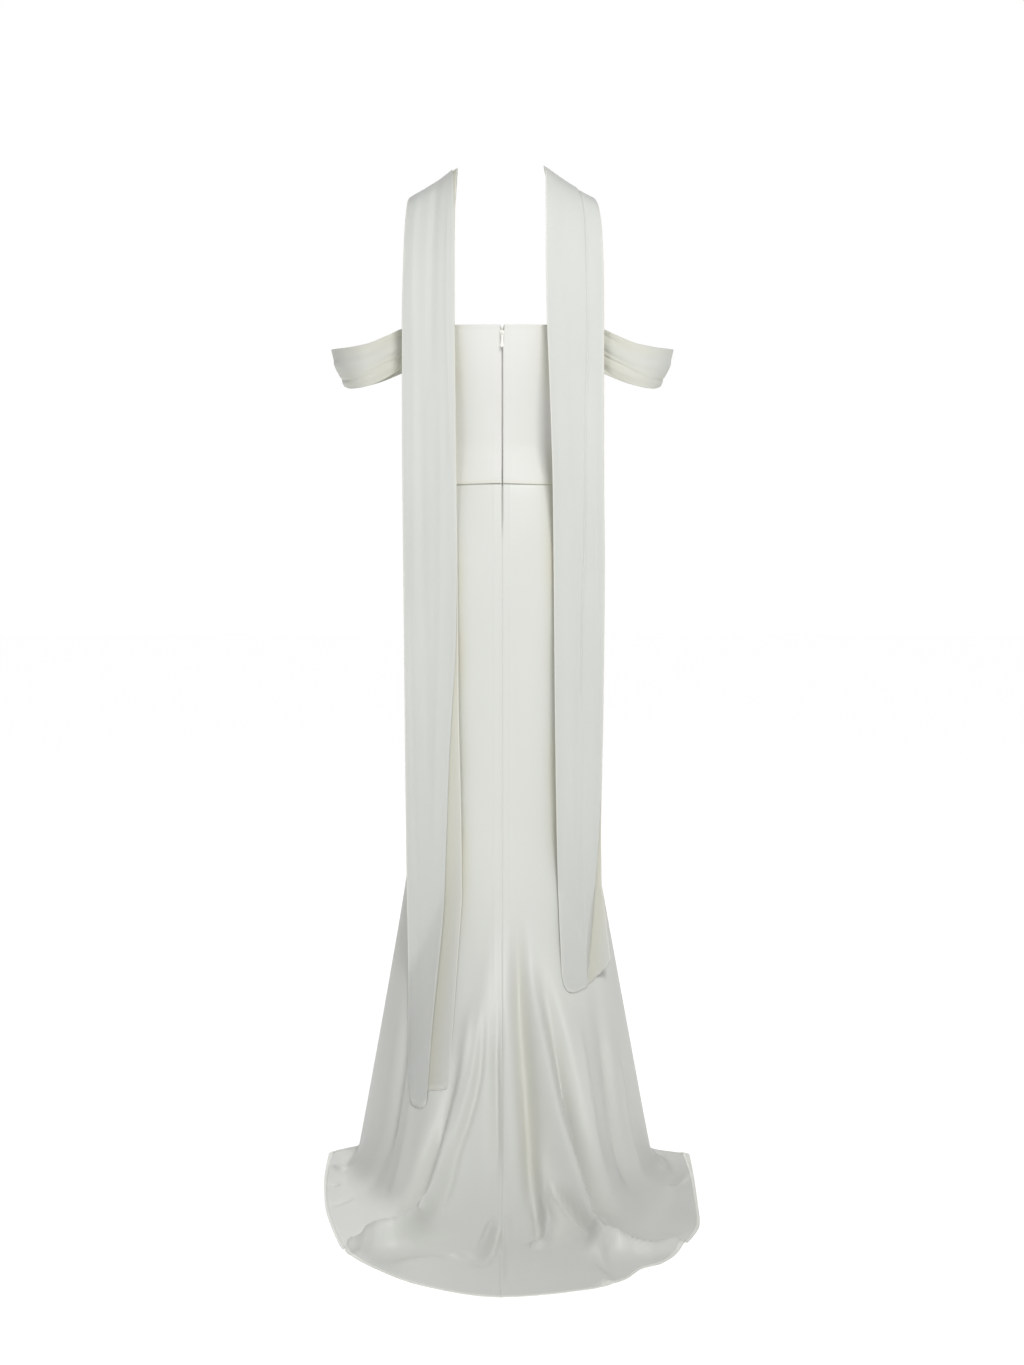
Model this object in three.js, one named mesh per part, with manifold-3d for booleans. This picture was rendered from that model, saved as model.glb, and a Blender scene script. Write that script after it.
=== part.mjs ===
// A strapless mermaid wedding dress with a short train, two chiffon scarf panels that run from the front
// of the bodice over the shoulders and hang down the back, and two draped off-shoulder bands.
// Millimetres, +Z up, +Y towards the back of the dress, +X towards the wearer's left.
// Every piece is worked out with Z counted from the floor. The whole dress is then lowered, so that the
// origin lies on the body's axis at the natural waist, where the wearer holds it up.

import * as THREE from 'three';
import { mergeVertices } from 'three/addons/utils/BufferGeometryUtils.js';
import Module from 'manifold-3d';

const wasm = await Module();
wasm.setup();

const { clamp, degToRad, lerp, smoothstep } = THREE.MathUtils;

// ---- Heights above the floor ----
const WAIST_HEIGHT = 1085;
const BODICE_BOTTOM = 1022;
const BACK_NECKLINE = 1257.5;
const SKIRT_TOP = 1030;
const ZIP_END = 958;
const KNEE = 500;

// ---- Cloth ----
const SEAM_GAP = 0.3;
const SKIRT_WALL = 1.6;
const BODICE_WALL = 2;
const CHIFFON_WALL = 1;
const BODICE_EASE = 0.8;
const BODICE_OUTSET = BODICE_WALL + BODICE_EASE;
const SECTION_FULLNESS = 0.035;

// ---- Grid sizes ----
const TRAIN_FOLDS_TO = 40;
const TRAIN_FOLD_COLUMNS = 18;
const TRAIN_SIDE_COLUMNS = 8;
const SKIRT_FRONT_COLUMNS = 16;
const EAR_ANGLES = [90, 92, 95, 99];
const FRONT_FROM = 106;
const SKIRT_UPPER_ROWS = [1030, 1000, 965, 951, 900, 820, 720, 610, 500];
const SKIRT_FALL_ROWS = 11;
const SKIRT_FLOOR_ROWS = 8;
const BODICE_ROWS = [0, 0.04, 0.08, 0.13, 0.19, 0.27, 0.37, 0.5, 0.66, 0.83, 1];
const BODICE_BACK_COLUMNS = 12;
const BODICE_FRONT_COLUMNS = 32;
const SCARF_COLUMNS = 11;
const PLEAT_COLUMNS = 2;
const SCARF_ROWS = 32;
const BAND_COLUMNS = 8;
const BAND_ROWS = 18;

// Level sections of the body that the cloth follows, from the upper edge of the bodice to the knee.
const BODY_SECTIONS = [
  { height: 500, half_width: 143, back: 112, front: 95 },
  { height: 600, half_width: 144.5, back: 109, front: 95 },
  { height: 680, half_width: 146, back: 110, front: 96 },
  { height: 760, half_width: 147.5, back: 113, front: 97 },
  { height: 840, half_width: 148.5, back: 118, front: 99 },
  { height: 900, half_width: 148.5, back: 120, front: 100 },
  { height: 940, half_width: 147, back: 117, front: 99 },
  { height: 985, half_width: 142, back: 108, front: 96 },
  { height: 1024, half_width: 133, back: 96, front: 92 },
  { height: 1055, half_width: 121, back: 84, front: 87 },
  { height: 1085, half_width: 116, back: 78, front: 85 },
  { height: 1125, half_width: 119, back: 80, front: 88 },
  { height: 1165, half_width: 127, back: 86, front: 97 },
  { height: 1200, half_width: 137, back: 92, front: 108 },
  { height: 1235, half_width: 140.5, back: 96, front: 114 },
  { height: 1257, half_width: 140, back: 97, front: 110 },
  { height: 1290, half_width: 137, back: 92, front: 98 },
  { height: 1330, half_width: 134, back: 84, front: 88 },
];

// Soft cups shaped by darts in the front of the bodice.
const CUP = { angle: 144, height: 1226, depth: 26, spread: 21, reach: 40 };

// Upper edge of the bodice, by angle round the body from the centre of the back.
const NECKLINE = [
  { angle: 0, height: BACK_NECKLINE },
  { angle: 48, height: BACK_NECKLINE },
  { angle: 90, height: 1262 },
  { angle: 108, height: 1278 },
  { angle: 124, height: 1296 },
  { angle: 134, height: 1298 },
  { angle: 143, height: 1281 },
  { angle: 151, height: 1265 },
  { angle: 163, height: 1260 },
  { angle: 180, height: 1255 },
];

// Below the knee each line of the skirt falls to a break on the floor and runs on to the hem.
// Angles run round the body from the centre of the back; the wearer's right side is negative.
const TRAIN_CUT = [
  { angle: -180, break_x: 0, break_y: -188, hem_x: 0, hem_y: -196, flare_from: 0.15, softness: 0.15 },
  { angle: -157, break_x: -78, break_y: -172, hem_x: -81, hem_y: -180, flare_from: 0.15, softness: 0.15 },
  { angle: -135, break_x: -146, break_y: -132, hem_x: -150, hem_y: -138, flare_from: 0.14, softness: 0.13 },
  { angle: -112, break_x: -197, break_y: -66, hem_x: -204, hem_y: -70, flare_from: 0.12, softness: 0.1 },
  { angle: -98, break_x: -221, break_y: -2, hem_x: -233, hem_y: 28, flare_from: 0.09, softness: 0.08 },
  { angle: -94, break_x: -225, break_y: 17, hem_x: -256, hem_y: 40, flare_from: 0.08, softness: 0.07 },
  { angle: -90, break_x: -227, break_y: 36, hem_x: -285, hem_y: 53, flare_from: 0.08, softness: 0.06 },
  { angle: -80, break_x: -226, break_y: 70, hem_x: -284, hem_y: 150, flare_from: 0.1, softness: 0.08 },
  { angle: -60, break_x: -210, break_y: 180, hem_x: -279, hem_y: 356, flare_from: 0.2, softness: 0.15 },
  { angle: -50, break_x: -195, break_y: 252, hem_x: -275, hem_y: 466, flare_from: 0.26, softness: 0.21 },
  { angle: -40, break_x: -176, break_y: 320, hem_x: -254, hem_y: 563, flare_from: 0.32, softness: 0.27 },
  { angle: -28, break_x: -145, break_y: 410, hem_x: -211, hem_y: 675, flare_from: 0.38, softness: 0.33 },
  { angle: -24, break_x: -130, break_y: 435, hem_x: -184, hem_y: 700, flare_from: 0.4, softness: 0.35 },
  { angle: -18.5, break_x: -101, break_y: 460, hem_x: -161, hem_y: 750, flare_from: 0.42, softness: 0.37 },
  { angle: -12, break_x: -66, break_y: 480, hem_x: -112, hem_y: 797, flare_from: 0.44, softness: 0.39 },
  { angle: 0, break_x: 0, break_y: 495, hem_x: 0, hem_y: 832, flare_from: 0.45, softness: 0.4 },
  { angle: 12, break_x: 66, break_y: 480, hem_x: 100, hem_y: 780, flare_from: 0.44, softness: 0.39 },
  { angle: 24, break_x: 128, break_y: 430, hem_x: 175, hem_y: 682, flare_from: 0.4, softness: 0.35 },
  { angle: 32, break_x: 153, break_y: 379, hem_x: 207, hem_y: 622, flare_from: 0.36, softness: 0.31 },
  { angle: 40, break_x: 172, break_y: 320, hem_x: 226, hem_y: 538, flare_from: 0.32, softness: 0.27 },
  { angle: 60, break_x: 204, break_y: 180, hem_x: 253, hem_y: 346, flare_from: 0.2, softness: 0.15 },
  { angle: 80, break_x: 219, break_y: 60, hem_x: 264, hem_y: 150, flare_from: 0.1, softness: 0.08 },
  { angle: 90, break_x: 221, break_y: 10, hem_x: 265, hem_y: 50, flare_from: 0.14, softness: 0.06 },
  { angle: 94, break_x: 220, break_y: -1, hem_x: 243, hem_y: 17, flare_from: 0.14, softness: 0.07 },
  { angle: 98, break_x: 217, break_y: -14, hem_x: 227, hem_y: 6, flare_from: 0.12, softness: 0.08 },
  { angle: 112, break_x: 196, break_y: -66, hem_x: 203, hem_y: -70, flare_from: 0.12, softness: 0.1 },
  { angle: 135, break_x: 144, break_y: -132, hem_x: 150, hem_y: -138, flare_from: 0.14, softness: 0.13 },
  { angle: 157, break_x: 78, break_y: -172, hem_x: 81, hem_y: -180, flare_from: 0.15, softness: 0.15 },
  { angle: 180, break_x: 0, break_y: -188, hem_x: 0, hem_y: -196, flare_from: 0.15, softness: 0.15 },
];
// The break is rounded over this share of the line where much cloth lies on the floor, and less elsewhere.
const BREAK_ROUNDING = 0.05;
const BREAK_FULL_RUN = 250;

// Folds of the skirt. line holds pairs of an angle round the body and a share of the way from knee to
// hem. A fold is at its full height between full_from and full_to, as shares of its line; troughs are
// negative. Its width is that of half the fold, at the line's start and end.
const FOLDS = [
  {
    name: 'left ridge', height: 16, start_width: 9, end_width: 44, full_from: 0.5, full_to: 0.72,
    line: [[3, 0.08], [7.5, 0.27], [11.5, 0.42], [16.5, 0.56], [18.5, 0.7], [21, 0.83], [28, 0.92], [36, 0.96]],
  },
  {
    name: 'trough outside the left ridge', height: -13, start_width: 12, end_width: 20, full_from: 0.5, full_to: 0.9,
    line: [[13, 0.34], [18.5, 0.56], [22.5, 0.74]],
  },
  {
    name: 'trough left of the seam', height: -5, start_width: 7, end_width: 12, full_from: 0.4, full_to: 0.6,
    line: [[1.5, 0.28], [2.2, 0.45], [2, 0.66]],
  },
  {
    name: 'trough right of the seam', height: -13, start_width: 9, end_width: 14, full_from: 0.4, full_to: 0.8,
    line: [[-6.5, 0.12], [-8.6, 0.25], [-8.4, 0.4], [-8.6, 0.54], [-8, 0.72]],
  },
  {
    name: 'narrow pleat', height: 9, start_width: 7, end_width: 10, full_from: 0.35, full_to: 0.7,
    line: [[-10.8, 0.52], [-10.8, 0.64], [-10.6, 0.75]],
  },
  {
    name: 'right ridge', height: 16, start_width: 9, end_width: 42, full_from: 0.45, full_to: 0.7,
    line: [[-7, 0.12], [-12.5, 0.34], [-14.5, 0.5], [-18.5, 0.64], [-20, 0.8], [-26, 0.9], [-35, 0.96]],
  },
  {
    name: 'trough outside the right ridge', height: -15, start_width: 13, end_width: 20, full_from: 0.4, full_to: 0.85,
    line: [[-15.5, 0.2], [-20.5, 0.4], [-24, 0.56], [-25, 0.74]],
  },
  {
    name: 'soft trough on the right side', height: -6, start_width: 18, end_width: 24, full_from: 0.4, full_to: 0.7,
    line: [[-54, 0.26], [-47, 0.5], [-42, 0.76]],
  },
  {
    name: 'soft trough on the left side', height: -5, start_width: 18, end_width: 24, full_from: 0.4, full_to: 0.7,
    line: [[52, 0.3], [46, 0.55], [42, 0.78]],
  },
  {
    name: 'front flute, far left', height: 7, start_width: 20, end_width: 30, full_from: 0.7, full_to: 1,
    line: [[118, 0.25], [116, 0.6], [115, 1]],
  },
  {
    name: 'front flute, left', height: 8, start_width: 20, end_width: 28, full_from: 0.7, full_to: 1,
    line: [[152, 0.35], [149, 0.7], [147, 1]],
  },
  {
    name: 'front flute, right', height: 7, start_width: 20, end_width: 30, full_from: 0.7, full_to: 1,
    line: [[-165, 0.3], [-161, 0.6], [-158, 1]],
  },
  {
    name: 'front flute, far right', height: 8, start_width: 20, end_width: 28, full_from: 0.7, full_to: 1,
    line: [[-124, 0.32], [-122, 0.7], [-121, 1]],
  },
];

// ---- Small helpers ----

/** A smooth curve through the rows of a table, without overshoot: returns all columns at a place. */
function smoothTable(table, key) {
  const columns = Object.keys(table[0]).filter((name) => name !== key);
  const places = table.map((row) => row[key]);
  const last = table.length - 1;
  const slopes = {};
  for (const name of columns) {
    const steps = places.slice(1).map((place, i) => (table[i + 1][name] - table[i][name]) / (place - places[i]));
    slopes[name] = places.map((_, i) => {
      if (i === 0) return steps[0];
      if (i === last) return steps[last - 1];
      const product = steps[i - 1] * steps[i];
      return product <= 0 ? 0 : (2 * product) / (steps[i - 1] + steps[i]);
    });
  }
  return (place) => {
    const at = clamp(place, places[0], places[last]);
    let i = 0;
    while (i < last - 1 && at > places[i + 1]) i += 1;
    const width = places[i + 1] - places[i];
    const t = (at - places[i]) / width;
    const result = {};
    for (const name of columns) {
      const rise = table[i + 1][name] - table[i][name];
      const bendIn = (slopes[name][i] * width - rise) * t * (1 - t) * (1 - t);
      const bendOut = (slopes[name][i + 1] * width - rise) * t * t * (t - 1);
      result[name] = table[i][name] + rise * t + bendIn + bendOut;
    }
    return result;
  };
}

/** Unit normal of a surface function, by small steps either way. */
function surfaceNormal(surface, u, v, stepU, stepV) {
  const alongU = surface(u + stepU, v).sub(surface(u - stepU, v));
  const alongV = surface(u, v + stepV).sub(surface(u, v - stepV));
  return alongU.cross(alongV).normalize();
}

/**
 * A closed wall of cloth. outer and inner are grids of points, [row][column], over the outside and the
 * inside of the cloth, seen from outside with columns running to the right and rows running down. Both
 * side edges are split along the same diagonal, so that twisted edges meet along a seam without crossing.
 */
function clothWall(name, outer, inner, material) {
  const rows = outer.length;
  const columns = outer[0].length;
  const positions = [];
  for (const grid of [outer, inner]) {
    for (const row of grid) {
      for (const point of row) positions.push(point.x, point.y, point.z);
    }
  }
  const sheet = rows * columns;
  const at = (side, i, j) => side * sheet + i * columns + j;
  const index = [];
  const quad = (a, b, c, d) => index.push(a, b, c, a, c, d);
  for (let i = 0; i < rows - 1; i += 1) {
    for (let j = 0; j < columns - 1; j += 1) {
      quad(at(0, i, j), at(0, i + 1, j), at(0, i + 1, j + 1), at(0, i, j + 1));
      quad(at(1, i, j), at(1, i, j + 1), at(1, i + 1, j + 1), at(1, i + 1, j));
    }
  }
  for (let j = 0; j < columns - 1; j += 1) {
    quad(at(0, 0, j), at(0, 0, j + 1), at(1, 0, j + 1), at(1, 0, j));
    quad(at(0, rows - 1, j + 1), at(0, rows - 1, j), at(1, rows - 1, j), at(1, rows - 1, j + 1));
  }
  for (let i = 0; i < rows - 1; i += 1) {
    quad(at(0, i + 1, 0), at(0, i, 0), at(1, i, 0), at(1, i + 1, 0));
    quad(at(0, i + 1, columns - 1), at(1, i + 1, columns - 1), at(1, i, columns - 1), at(0, i, columns - 1));
  }
  const geometry = new THREE.BufferGeometry();
  geometry.setAttribute('position', new THREE.Float32BufferAttribute(positions, 3));
  geometry.setIndex(index);
  geometry.computeVertexNormals();
  const mesh = new THREE.Mesh(geometry, material);
  mesh.name = name;
  return mesh;
}

/** Moves the first and last point of each row in from a seam, by half the gap at that row. */
function trimSeams(grid, startGap, endGap) {
  grid.forEach((row, i) => {
    const last = row.length - 1;
    const inward = row[1].clone().sub(row[0]).normalize();
    const backward = row[last - 1].clone().sub(row[last]).normalize();
    row[0].addScaledVector(inward, startGap(i) / 2);
    row[last].addScaledVector(backward, endGap(i) / 2);
  });
}

/** Evenly spaced values from a first to a last one, with both ends. */
function spaced(first, last, count) {
  return Array.from({ length: count + 1 }, (_, i) => lerp(first, last, i / count));
}

// ---- Body surface ----

const bodySection = smoothTable(BODY_SECTIONS, 'height');
const trainCut = smoothTable(TRAIN_CUT, 'angle');
const neckline = smoothTable(NECKLINE, 'angle');

function sectionPoint(height, angle, outset) {
  const section = bodySection(height);
  const turn = degToRad(angle);
  const depth = Math.cos(turn) > 0 ? section.back : section.front;
  const fullness = 1 + SECTION_FULLNESS * Math.sin(2 * turn) ** 2;
  return new THREE.Vector3(
    (section.half_width + outset) * Math.sin(turn) * fullness,
    (depth + outset) * Math.cos(turn) * fullness,
    height,
  );
}

/** Outside of the bodice, with its cups. */
function bodicePoint(height, angle, outset = BODICE_OUTSET) {
  const across = (Math.abs(angle) - CUP.angle) / CUP.spread;
  const up = (height - CUP.height) / CUP.reach;
  const swell = CUP.depth * Math.exp(-across * across - up * up);
  return sectionPoint(height, angle, outset + swell);
}

/** The angle at which a level line round the body reaches a given x, on the back or the front. */
function angleAt(pointAt, x, low, high) {
  let from = low;
  let to = high;
  const rising = pointAt(high).x > pointAt(low).x;
  for (let i = 0; i < 30; i += 1) {
    const middle = (from + to) / 2;
    if (pointAt(middle).x < x === rising) from = middle;
    else to = middle;
  }
  return (from + to) / 2;
}

// ---- Skirt ----

/** How far out a falling line has gone: nearly none before the flare starts, then a straight slope. */
function flareShare(fall, from, softness) {
  const bent = (t) => Math.hypot(t - from, softness) + t - from;
  return (bent(fall) - bent(0)) / (bent(1) - bent(0));
}

/** The share of a line's length, from knee to hem, at which it comes to the floor. */
function breakShare(angle) {
  const cut = trainCut(angle);
  const knee = sectionPoint(KNEE, angle, 0);
  const fallLength = Math.hypot(cut.break_x - knee.x, cut.break_y - knee.y, KNEE);
  const floorLength = Math.hypot(cut.hem_x - cut.break_x, cut.hem_y - cut.break_y);
  return fallLength / (fallLength + floorLength);
}

function skirtLine(angle, drop) {
  const cut = trainCut(angle);
  const knee = sectionPoint(KNEE, angle, 0);
  const atBreak = breakShare(angle);
  const fall = Math.min(drop / atBreak, 1);
  const run = Math.max((drop - atBreak) / (1 - atBreak), 0);
  const out = flareShare(fall, cut.flare_from, cut.softness);
  return new THREE.Vector3(
    lerp(lerp(knee.x, cut.break_x, out), cut.hem_x, run),
    lerp(lerp(knee.y, cut.break_y, out), cut.hem_y, run),
    lerp(KNEE, SKIRT_WALL, fall),
  );
}

/** The skirt below the knee without its folds; the break at the floor is rounded. */
function skirtFlare(angle, drop) {
  const cut = trainCut(angle);
  const run = Math.hypot(cut.hem_x - cut.break_x, cut.hem_y - cut.break_y);
  const rounding = BREAK_ROUNDING * clamp(run / BREAK_FULL_RUN, 0.25, 1);
  const reach = Math.min(rounding, drop, 1 - drop);
  const point = skirtLine(angle, drop).multiplyScalar(2);
  point.add(skirtLine(angle, drop - reach)).add(skirtLine(angle, drop + reach));
  point.add(skirtLine(angle, drop - reach / 2).multiplyScalar(2));
  point.add(skirtLine(angle, drop + reach / 2).multiplyScalar(2));
  return point.multiplyScalar(1 / 8);
}

// Each fold's line on the skirt, as points with the share of the line at which they lie.
const FOLD_STEPS = 24;
const foldLines = FOLDS.map((fold) => {
  const table = fold.line.map(([angle, drop], i) => ({ share: i / (fold.line.length - 1), angle, drop }));
  const place = smoothTable(table, 'share');
  const points = spaced(0, 1, FOLD_STEPS).map((share) => {
    const { angle, drop } = place(share);
    return skirtFlare(angle, drop);
  });
  return { ...fold, points };
});

/** Height of all folds together at a point of the skirt, by its distance from each fold's line. */
function foldHeight(point) {
  let total = 0;
  const nearest = new THREE.Vector3();
  const segment = new THREE.Line3();
  for (const fold of foldLines) {
    let best = Infinity;
    let share = 0;
    for (let i = 0; i < FOLD_STEPS; i += 1) {
      segment.set(fold.points[i], fold.points[i + 1]);
      const t = segment.closestPointToPointParameter(point, true);
      const distance = segment.at(t, nearest).distanceTo(point);
      if (distance < best) {
        best = distance;
        share = (i + t) / FOLD_STEPS;
      }
    }
    const width = lerp(fold.start_width, fold.end_width, share);
    const fades = fold.full_to < 1 ? 1 - smoothstep(share, fold.full_to, 1) : 1;
    total += fold.height * smoothstep(share, 0, fold.full_from) * fades * Math.exp(-((best / width) ** 2));
  }
  return total;
}

/** Outside of the skirt. down runs 0 to 1 from waist seam to knee, to 2 at the floor and 3 at the hem. */
function skirtPoint(angle, down) {
  if (down <= 1) return sectionPoint(lerp(SKIRT_TOP, KNEE, down), angle, 0);
  const atBreak = breakShare(angle);
  const drop = down <= 2 ? lerp(0, atBreak, down - 1) : lerp(atBreak, 1, down - 2);
  const point = skirtFlare(angle, drop);
  const height = foldHeight(point);
  if (Math.abs(height) > 0.01) {
    const normal = surfaceNormal((u, v) => skirtFlare(u, v), angle, clamp(drop, 0.01, 0.99), 0.5, 0.01);
    point.addScaledVector(normal, height);
  }
  point.z = Math.max(point.z, SKIRT_WALL);
  return point;
}

const skirtRows = [
  ...SKIRT_UPPER_ROWS.map((height) => (SKIRT_TOP - height) / (SKIRT_TOP - KNEE)),
  ...spaced(1, 2, SKIRT_FALL_ROWS).slice(1),
  ...spaced(2, 3, SKIRT_FLOOR_ROWS).slice(1),
];

/** Gap at the centre of the back, by height: open along the zip, parted in a V above the slider. */
const ZIP_GAP = 1.4;
const ZIP_V_BOTTOM = 1243;
const ZIP_V_WIDTH = 8;
function backGap(height) {
  if (height < ZIP_END) return SEAM_GAP;
  const parted = clamp((height - ZIP_V_BOTTOM) / (BACK_NECKLINE - ZIP_V_BOTTOM), 0, 1);
  return lerp(ZIP_GAP, ZIP_V_WIDTH, parted);
}

// Columns of the front, closer together where the train's hem comes in to the side of the skirt.
const frontAngles = [
  ...EAR_ANGLES,
  ...spaced(FRONT_FROM, 360 - FRONT_FROM, SKIRT_FRONT_COLUMNS),
  ...EAR_ANGLES.map((angle) => 360 - angle).reverse(),
];

// Columns of one half of the back, closer together where the train is folded.
const halfBackAngles = [
  ...spaced(0, TRAIN_FOLDS_TO, TRAIN_FOLD_COLUMNS),
  ...spaced(TRAIN_FOLDS_TO, 90, TRAIN_SIDE_COLUMNS).slice(1),
];

/** A panel of the skirt through a row of angles, from its left seam to its right as seen from outside. */
function skirtPanel(name, angles, gaps, material) {
  const wrap = (angle) => (angle > 180 ? angle - 360 : angle);
  const surface = (angle, down) => skirtPoint(wrap(angle), down);
  const outer = skirtRows.map((down) => angles.map((angle) => surface(angle, down)));
  const inner = skirtRows.map((down, i) => angles.map((angle, j) => {
    const normal = surfaceNormal(surface, angle, clamp(down, 0.01, 2.99), 0.4, 0.008);
    return outer[i][j].clone().addScaledVector(normal, -SKIRT_WALL);
  }));
  for (const grid of [outer, inner]) {
    trimSeams(grid, (i) => gaps[0](outer[i][0].z), (i) => gaps[1](outer[i][0].z));
  }
  return clothWall(name, outer, inner, material);
}

// ---- Bodice ----

function bodicePanel(name, fromAngle, toAngle, columns, gaps, material) {
  const topOf = (angle) => neckline(Math.abs(angle > 180 ? angle - 360 : angle)).height;
  const wrap = (angle) => (angle > 180 ? angle - 360 : angle);
  const surface = (angle, down) => bodicePoint(lerp(topOf(angle), BODICE_BOTTOM, down), wrap(angle));
  const outer = [];
  const inner = [];
  for (const down of BODICE_ROWS) {
    outer.push(spaced(fromAngle, toAngle, columns).map((angle) => surface(angle, down)));
    inner.push(spaced(fromAngle, toAngle, columns).map((angle) => {
      const normal = surfaceNormal(surface, angle, down, 0.4, 0.01);
      normal.z = 0;
      return surface(angle, down).addScaledVector(normal.normalize(), -BODICE_WALL);
    }));
  }
  for (const grid of [outer, inner]) {
    trimSeams(grid, (i) => gaps[0](outer[i][0].z), (i) => gaps[1](outer[i].at(-1).z));
  }
  return clothWall(name, outer, inner, material);
}

// ---- Scarf panels ----

// Each scarf is sewn to the outside of the bodice's front upper edge, goes over the shoulder and hangs
// down the back. run is the way along it from its sewn end; inner is the edge nearer the neck. pleat is
// where its one deep pleat lies, as a share of the way from the outer to the inner edge.
const LEFT_SCARF = [
  { run: 0, inner_x: 76, inner_y: 0, inner_z: 1268, outer_x: 122, outer_y: 0, outer_z: 1268, pleat: 0.4 },
  { run: 27, inner_x: 76, inner_y: 0, inner_z: 1292, outer_x: 124, outer_y: 0, outer_z: 1292, pleat: 0.4 },
  { run: 80, inner_x: 76, inner_y: -88, inner_z: 1343, outer_x: 128, outer_y: -55, outer_z: 1336, pleat: 0.4 },
  { run: 150, inner_x: 74, inner_y: -66, inner_z: 1410, outer_x: 133, outer_y: -36, outer_z: 1388, pleat: 0.4 },
  { run: 215, inner_x: 70, inner_y: -28, inner_z: 1465, outer_x: 138, outer_y: -10, outer_z: 1428, pleat: 0.4 },
  { run: 262, inner_x: 67, inner_y: 14, inner_z: 1496, outer_x: 140, outer_y: 16, outer_z: 1448, pleat: 0.4 },
  { run: 300, inner_x: 68.5, inner_y: 46, inner_z: 1480, outer_x: 142, outer_y: 42, outer_z: 1438, pleat: 0.4 },
  { run: 360, inner_x: 69.5, inner_y: 79, inner_z: 1434, outer_x: 145, outer_y: 66, outer_z: 1400, pleat: 0.39 },
  { run: 430, inner_x: 70, inner_y: 98, inner_z: 1368, outer_x: 147, outer_y: 84, outer_z: 1340, pleat: 0.4 },
  { run: 520, inner_x: 70, inner_y: 107, inner_z: 1282, outer_x: 148.5, outer_y: 96, outer_z: 1262, pleat: 0.42 },
  { run: 640, inner_x: 69, inner_y: 110, inner_z: 1163, outer_x: 148.5, outer_y: 101, outer_z: 1150, pleat: 0.44 },
  { run: 780, inner_x: 67.5, inner_y: 112, inner_z: 1024, outer_x: 148, outer_y: 104, outer_z: 1015, pleat: 0.46 },
  { run: 900, inner_x: 66, inner_y: 113, inner_z: 905, outer_x: 147, outer_y: 106, outer_z: 898, pleat: 0.48 },
  { run: 1100, inner_x: 65, inner_y: 112, inner_z: 705, outer_x: 145.5, outer_y: 107, outer_z: 702, pleat: 0.62 },
  { run: 1300, inner_x: 61, inner_y: 112, inner_z: 505, outer_x: 144, outer_y: 108, outer_z: 505, pleat: 0.71 },
  { run: 1400, inner_x: 60, inner_y: 112, inner_z: 405, outer_x: 143, outer_y: 108, outer_z: 405, pleat: 0.65 },
];
const LEFT_SCARF_END = [
  { share: 0, x: 139, z: 152 },
  { share: 0.06, x: 135.5, z: 130 },
  { share: 0.14, x: 131, z: 119 },
  { share: 0.3, x: 121, z: 117 },
  { share: 0.42, x: 113, z: 120 },
  { share: 0.5, x: 108, z: 138 },
  { share: 0.58, x: 104, z: 143 },
  { share: 0.94, x: 80, z: 147 },
  { share: 1, x: 77, z: 154 },
];
const RIGHT_SCARF = [
  { run: 0, inner_x: 76, inner_y: 0, inner_z: 1268, outer_x: 122, outer_y: 0, outer_z: 1268, pleat: 0.15 },
  { run: 27, inner_x: 76, inner_y: 0, inner_z: 1292, outer_x: 124, outer_y: 0, outer_z: 1292, pleat: 0.15 },
  { run: 80, inner_x: 76, inner_y: -88, inner_z: 1343, outer_x: 128, outer_y: -55, outer_z: 1336, pleat: 0.15 },
  { run: 150, inner_x: 74, inner_y: -66, inner_z: 1410, outer_x: 133, outer_y: -36, outer_z: 1388, pleat: 0.15 },
  { run: 215, inner_x: 69, inner_y: -28, inner_z: 1465, outer_x: 138.8, outer_y: -10, outer_z: 1428, pleat: 0.15 },
  { run: 262, inner_x: 62, inner_y: 14, inner_z: 1496, outer_x: 141.3, outer_y: 16, outer_z: 1446, pleat: 0.15 },
  { run: 300, inner_x: 64.5, inner_y: 46, inner_z: 1480, outer_x: 144.3, outer_y: 42, outer_z: 1436, pleat: 0.16 },
  { run: 360, inner_x: 64.5, inner_y: 79, inner_z: 1434, outer_x: 148.5, outer_y: 66, outer_z: 1400, pleat: 0.2 },
  { run: 430, inner_x: 64.5, inner_y: 98, inner_z: 1368, outer_x: 150.5, outer_y: 84, outer_z: 1340, pleat: 0.25 },
  { run: 520, inner_x: 65.5, inner_y: 107, inner_z: 1282, outer_x: 151, outer_y: 96, outer_z: 1262, pleat: 0.3 },
  { run: 640, inner_x: 70, inner_y: 110, inner_z: 1163, outer_x: 151, outer_y: 101, outer_z: 1150, pleat: 0.33 },
  { run: 780, inner_x: 74.5, inner_y: 112, inner_z: 1024, outer_x: 151.5, outer_y: 104, outer_z: 1015, pleat: 0.36 },
  { run: 900, inner_x: 76, inner_y: 113, inner_z: 905, outer_x: 152.5, outer_y: 106, outer_z: 898, pleat: 0.36 },
  { run: 1100, inner_x: 78, inner_y: 112, inner_z: 705, outer_x: 151, outer_y: 107, outer_z: 702, pleat: 0.3 },
  { run: 1300, inner_x: 81, inner_y: 112, inner_z: 505, outer_x: 148, outer_y: 108, outer_z: 505, pleat: 0.12 },
  { run: 1380, inner_x: 83, inner_y: 112, inner_z: 425, outer_x: 149, outer_y: 108, outer_z: 425, pleat: 0.16 },
];
const RIGHT_SCARF_END = [
  { share: 0, x: 163, z: 309 },
  { share: 0.1, x: 157, z: 301 },
  { share: 0.25, x: 146, z: 289 },
  { share: 0.4, x: 134, z: 279 },
  { share: 0.5, x: 127, z: 274 },
  { share: 0.74, x: 108, z: 270 },
  { share: 0.87, x: 98, z: 273 },
  { share: 0.96, x: 91, z: 284 },
  { share: 1, x: 88, z: 298 },
];
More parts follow.
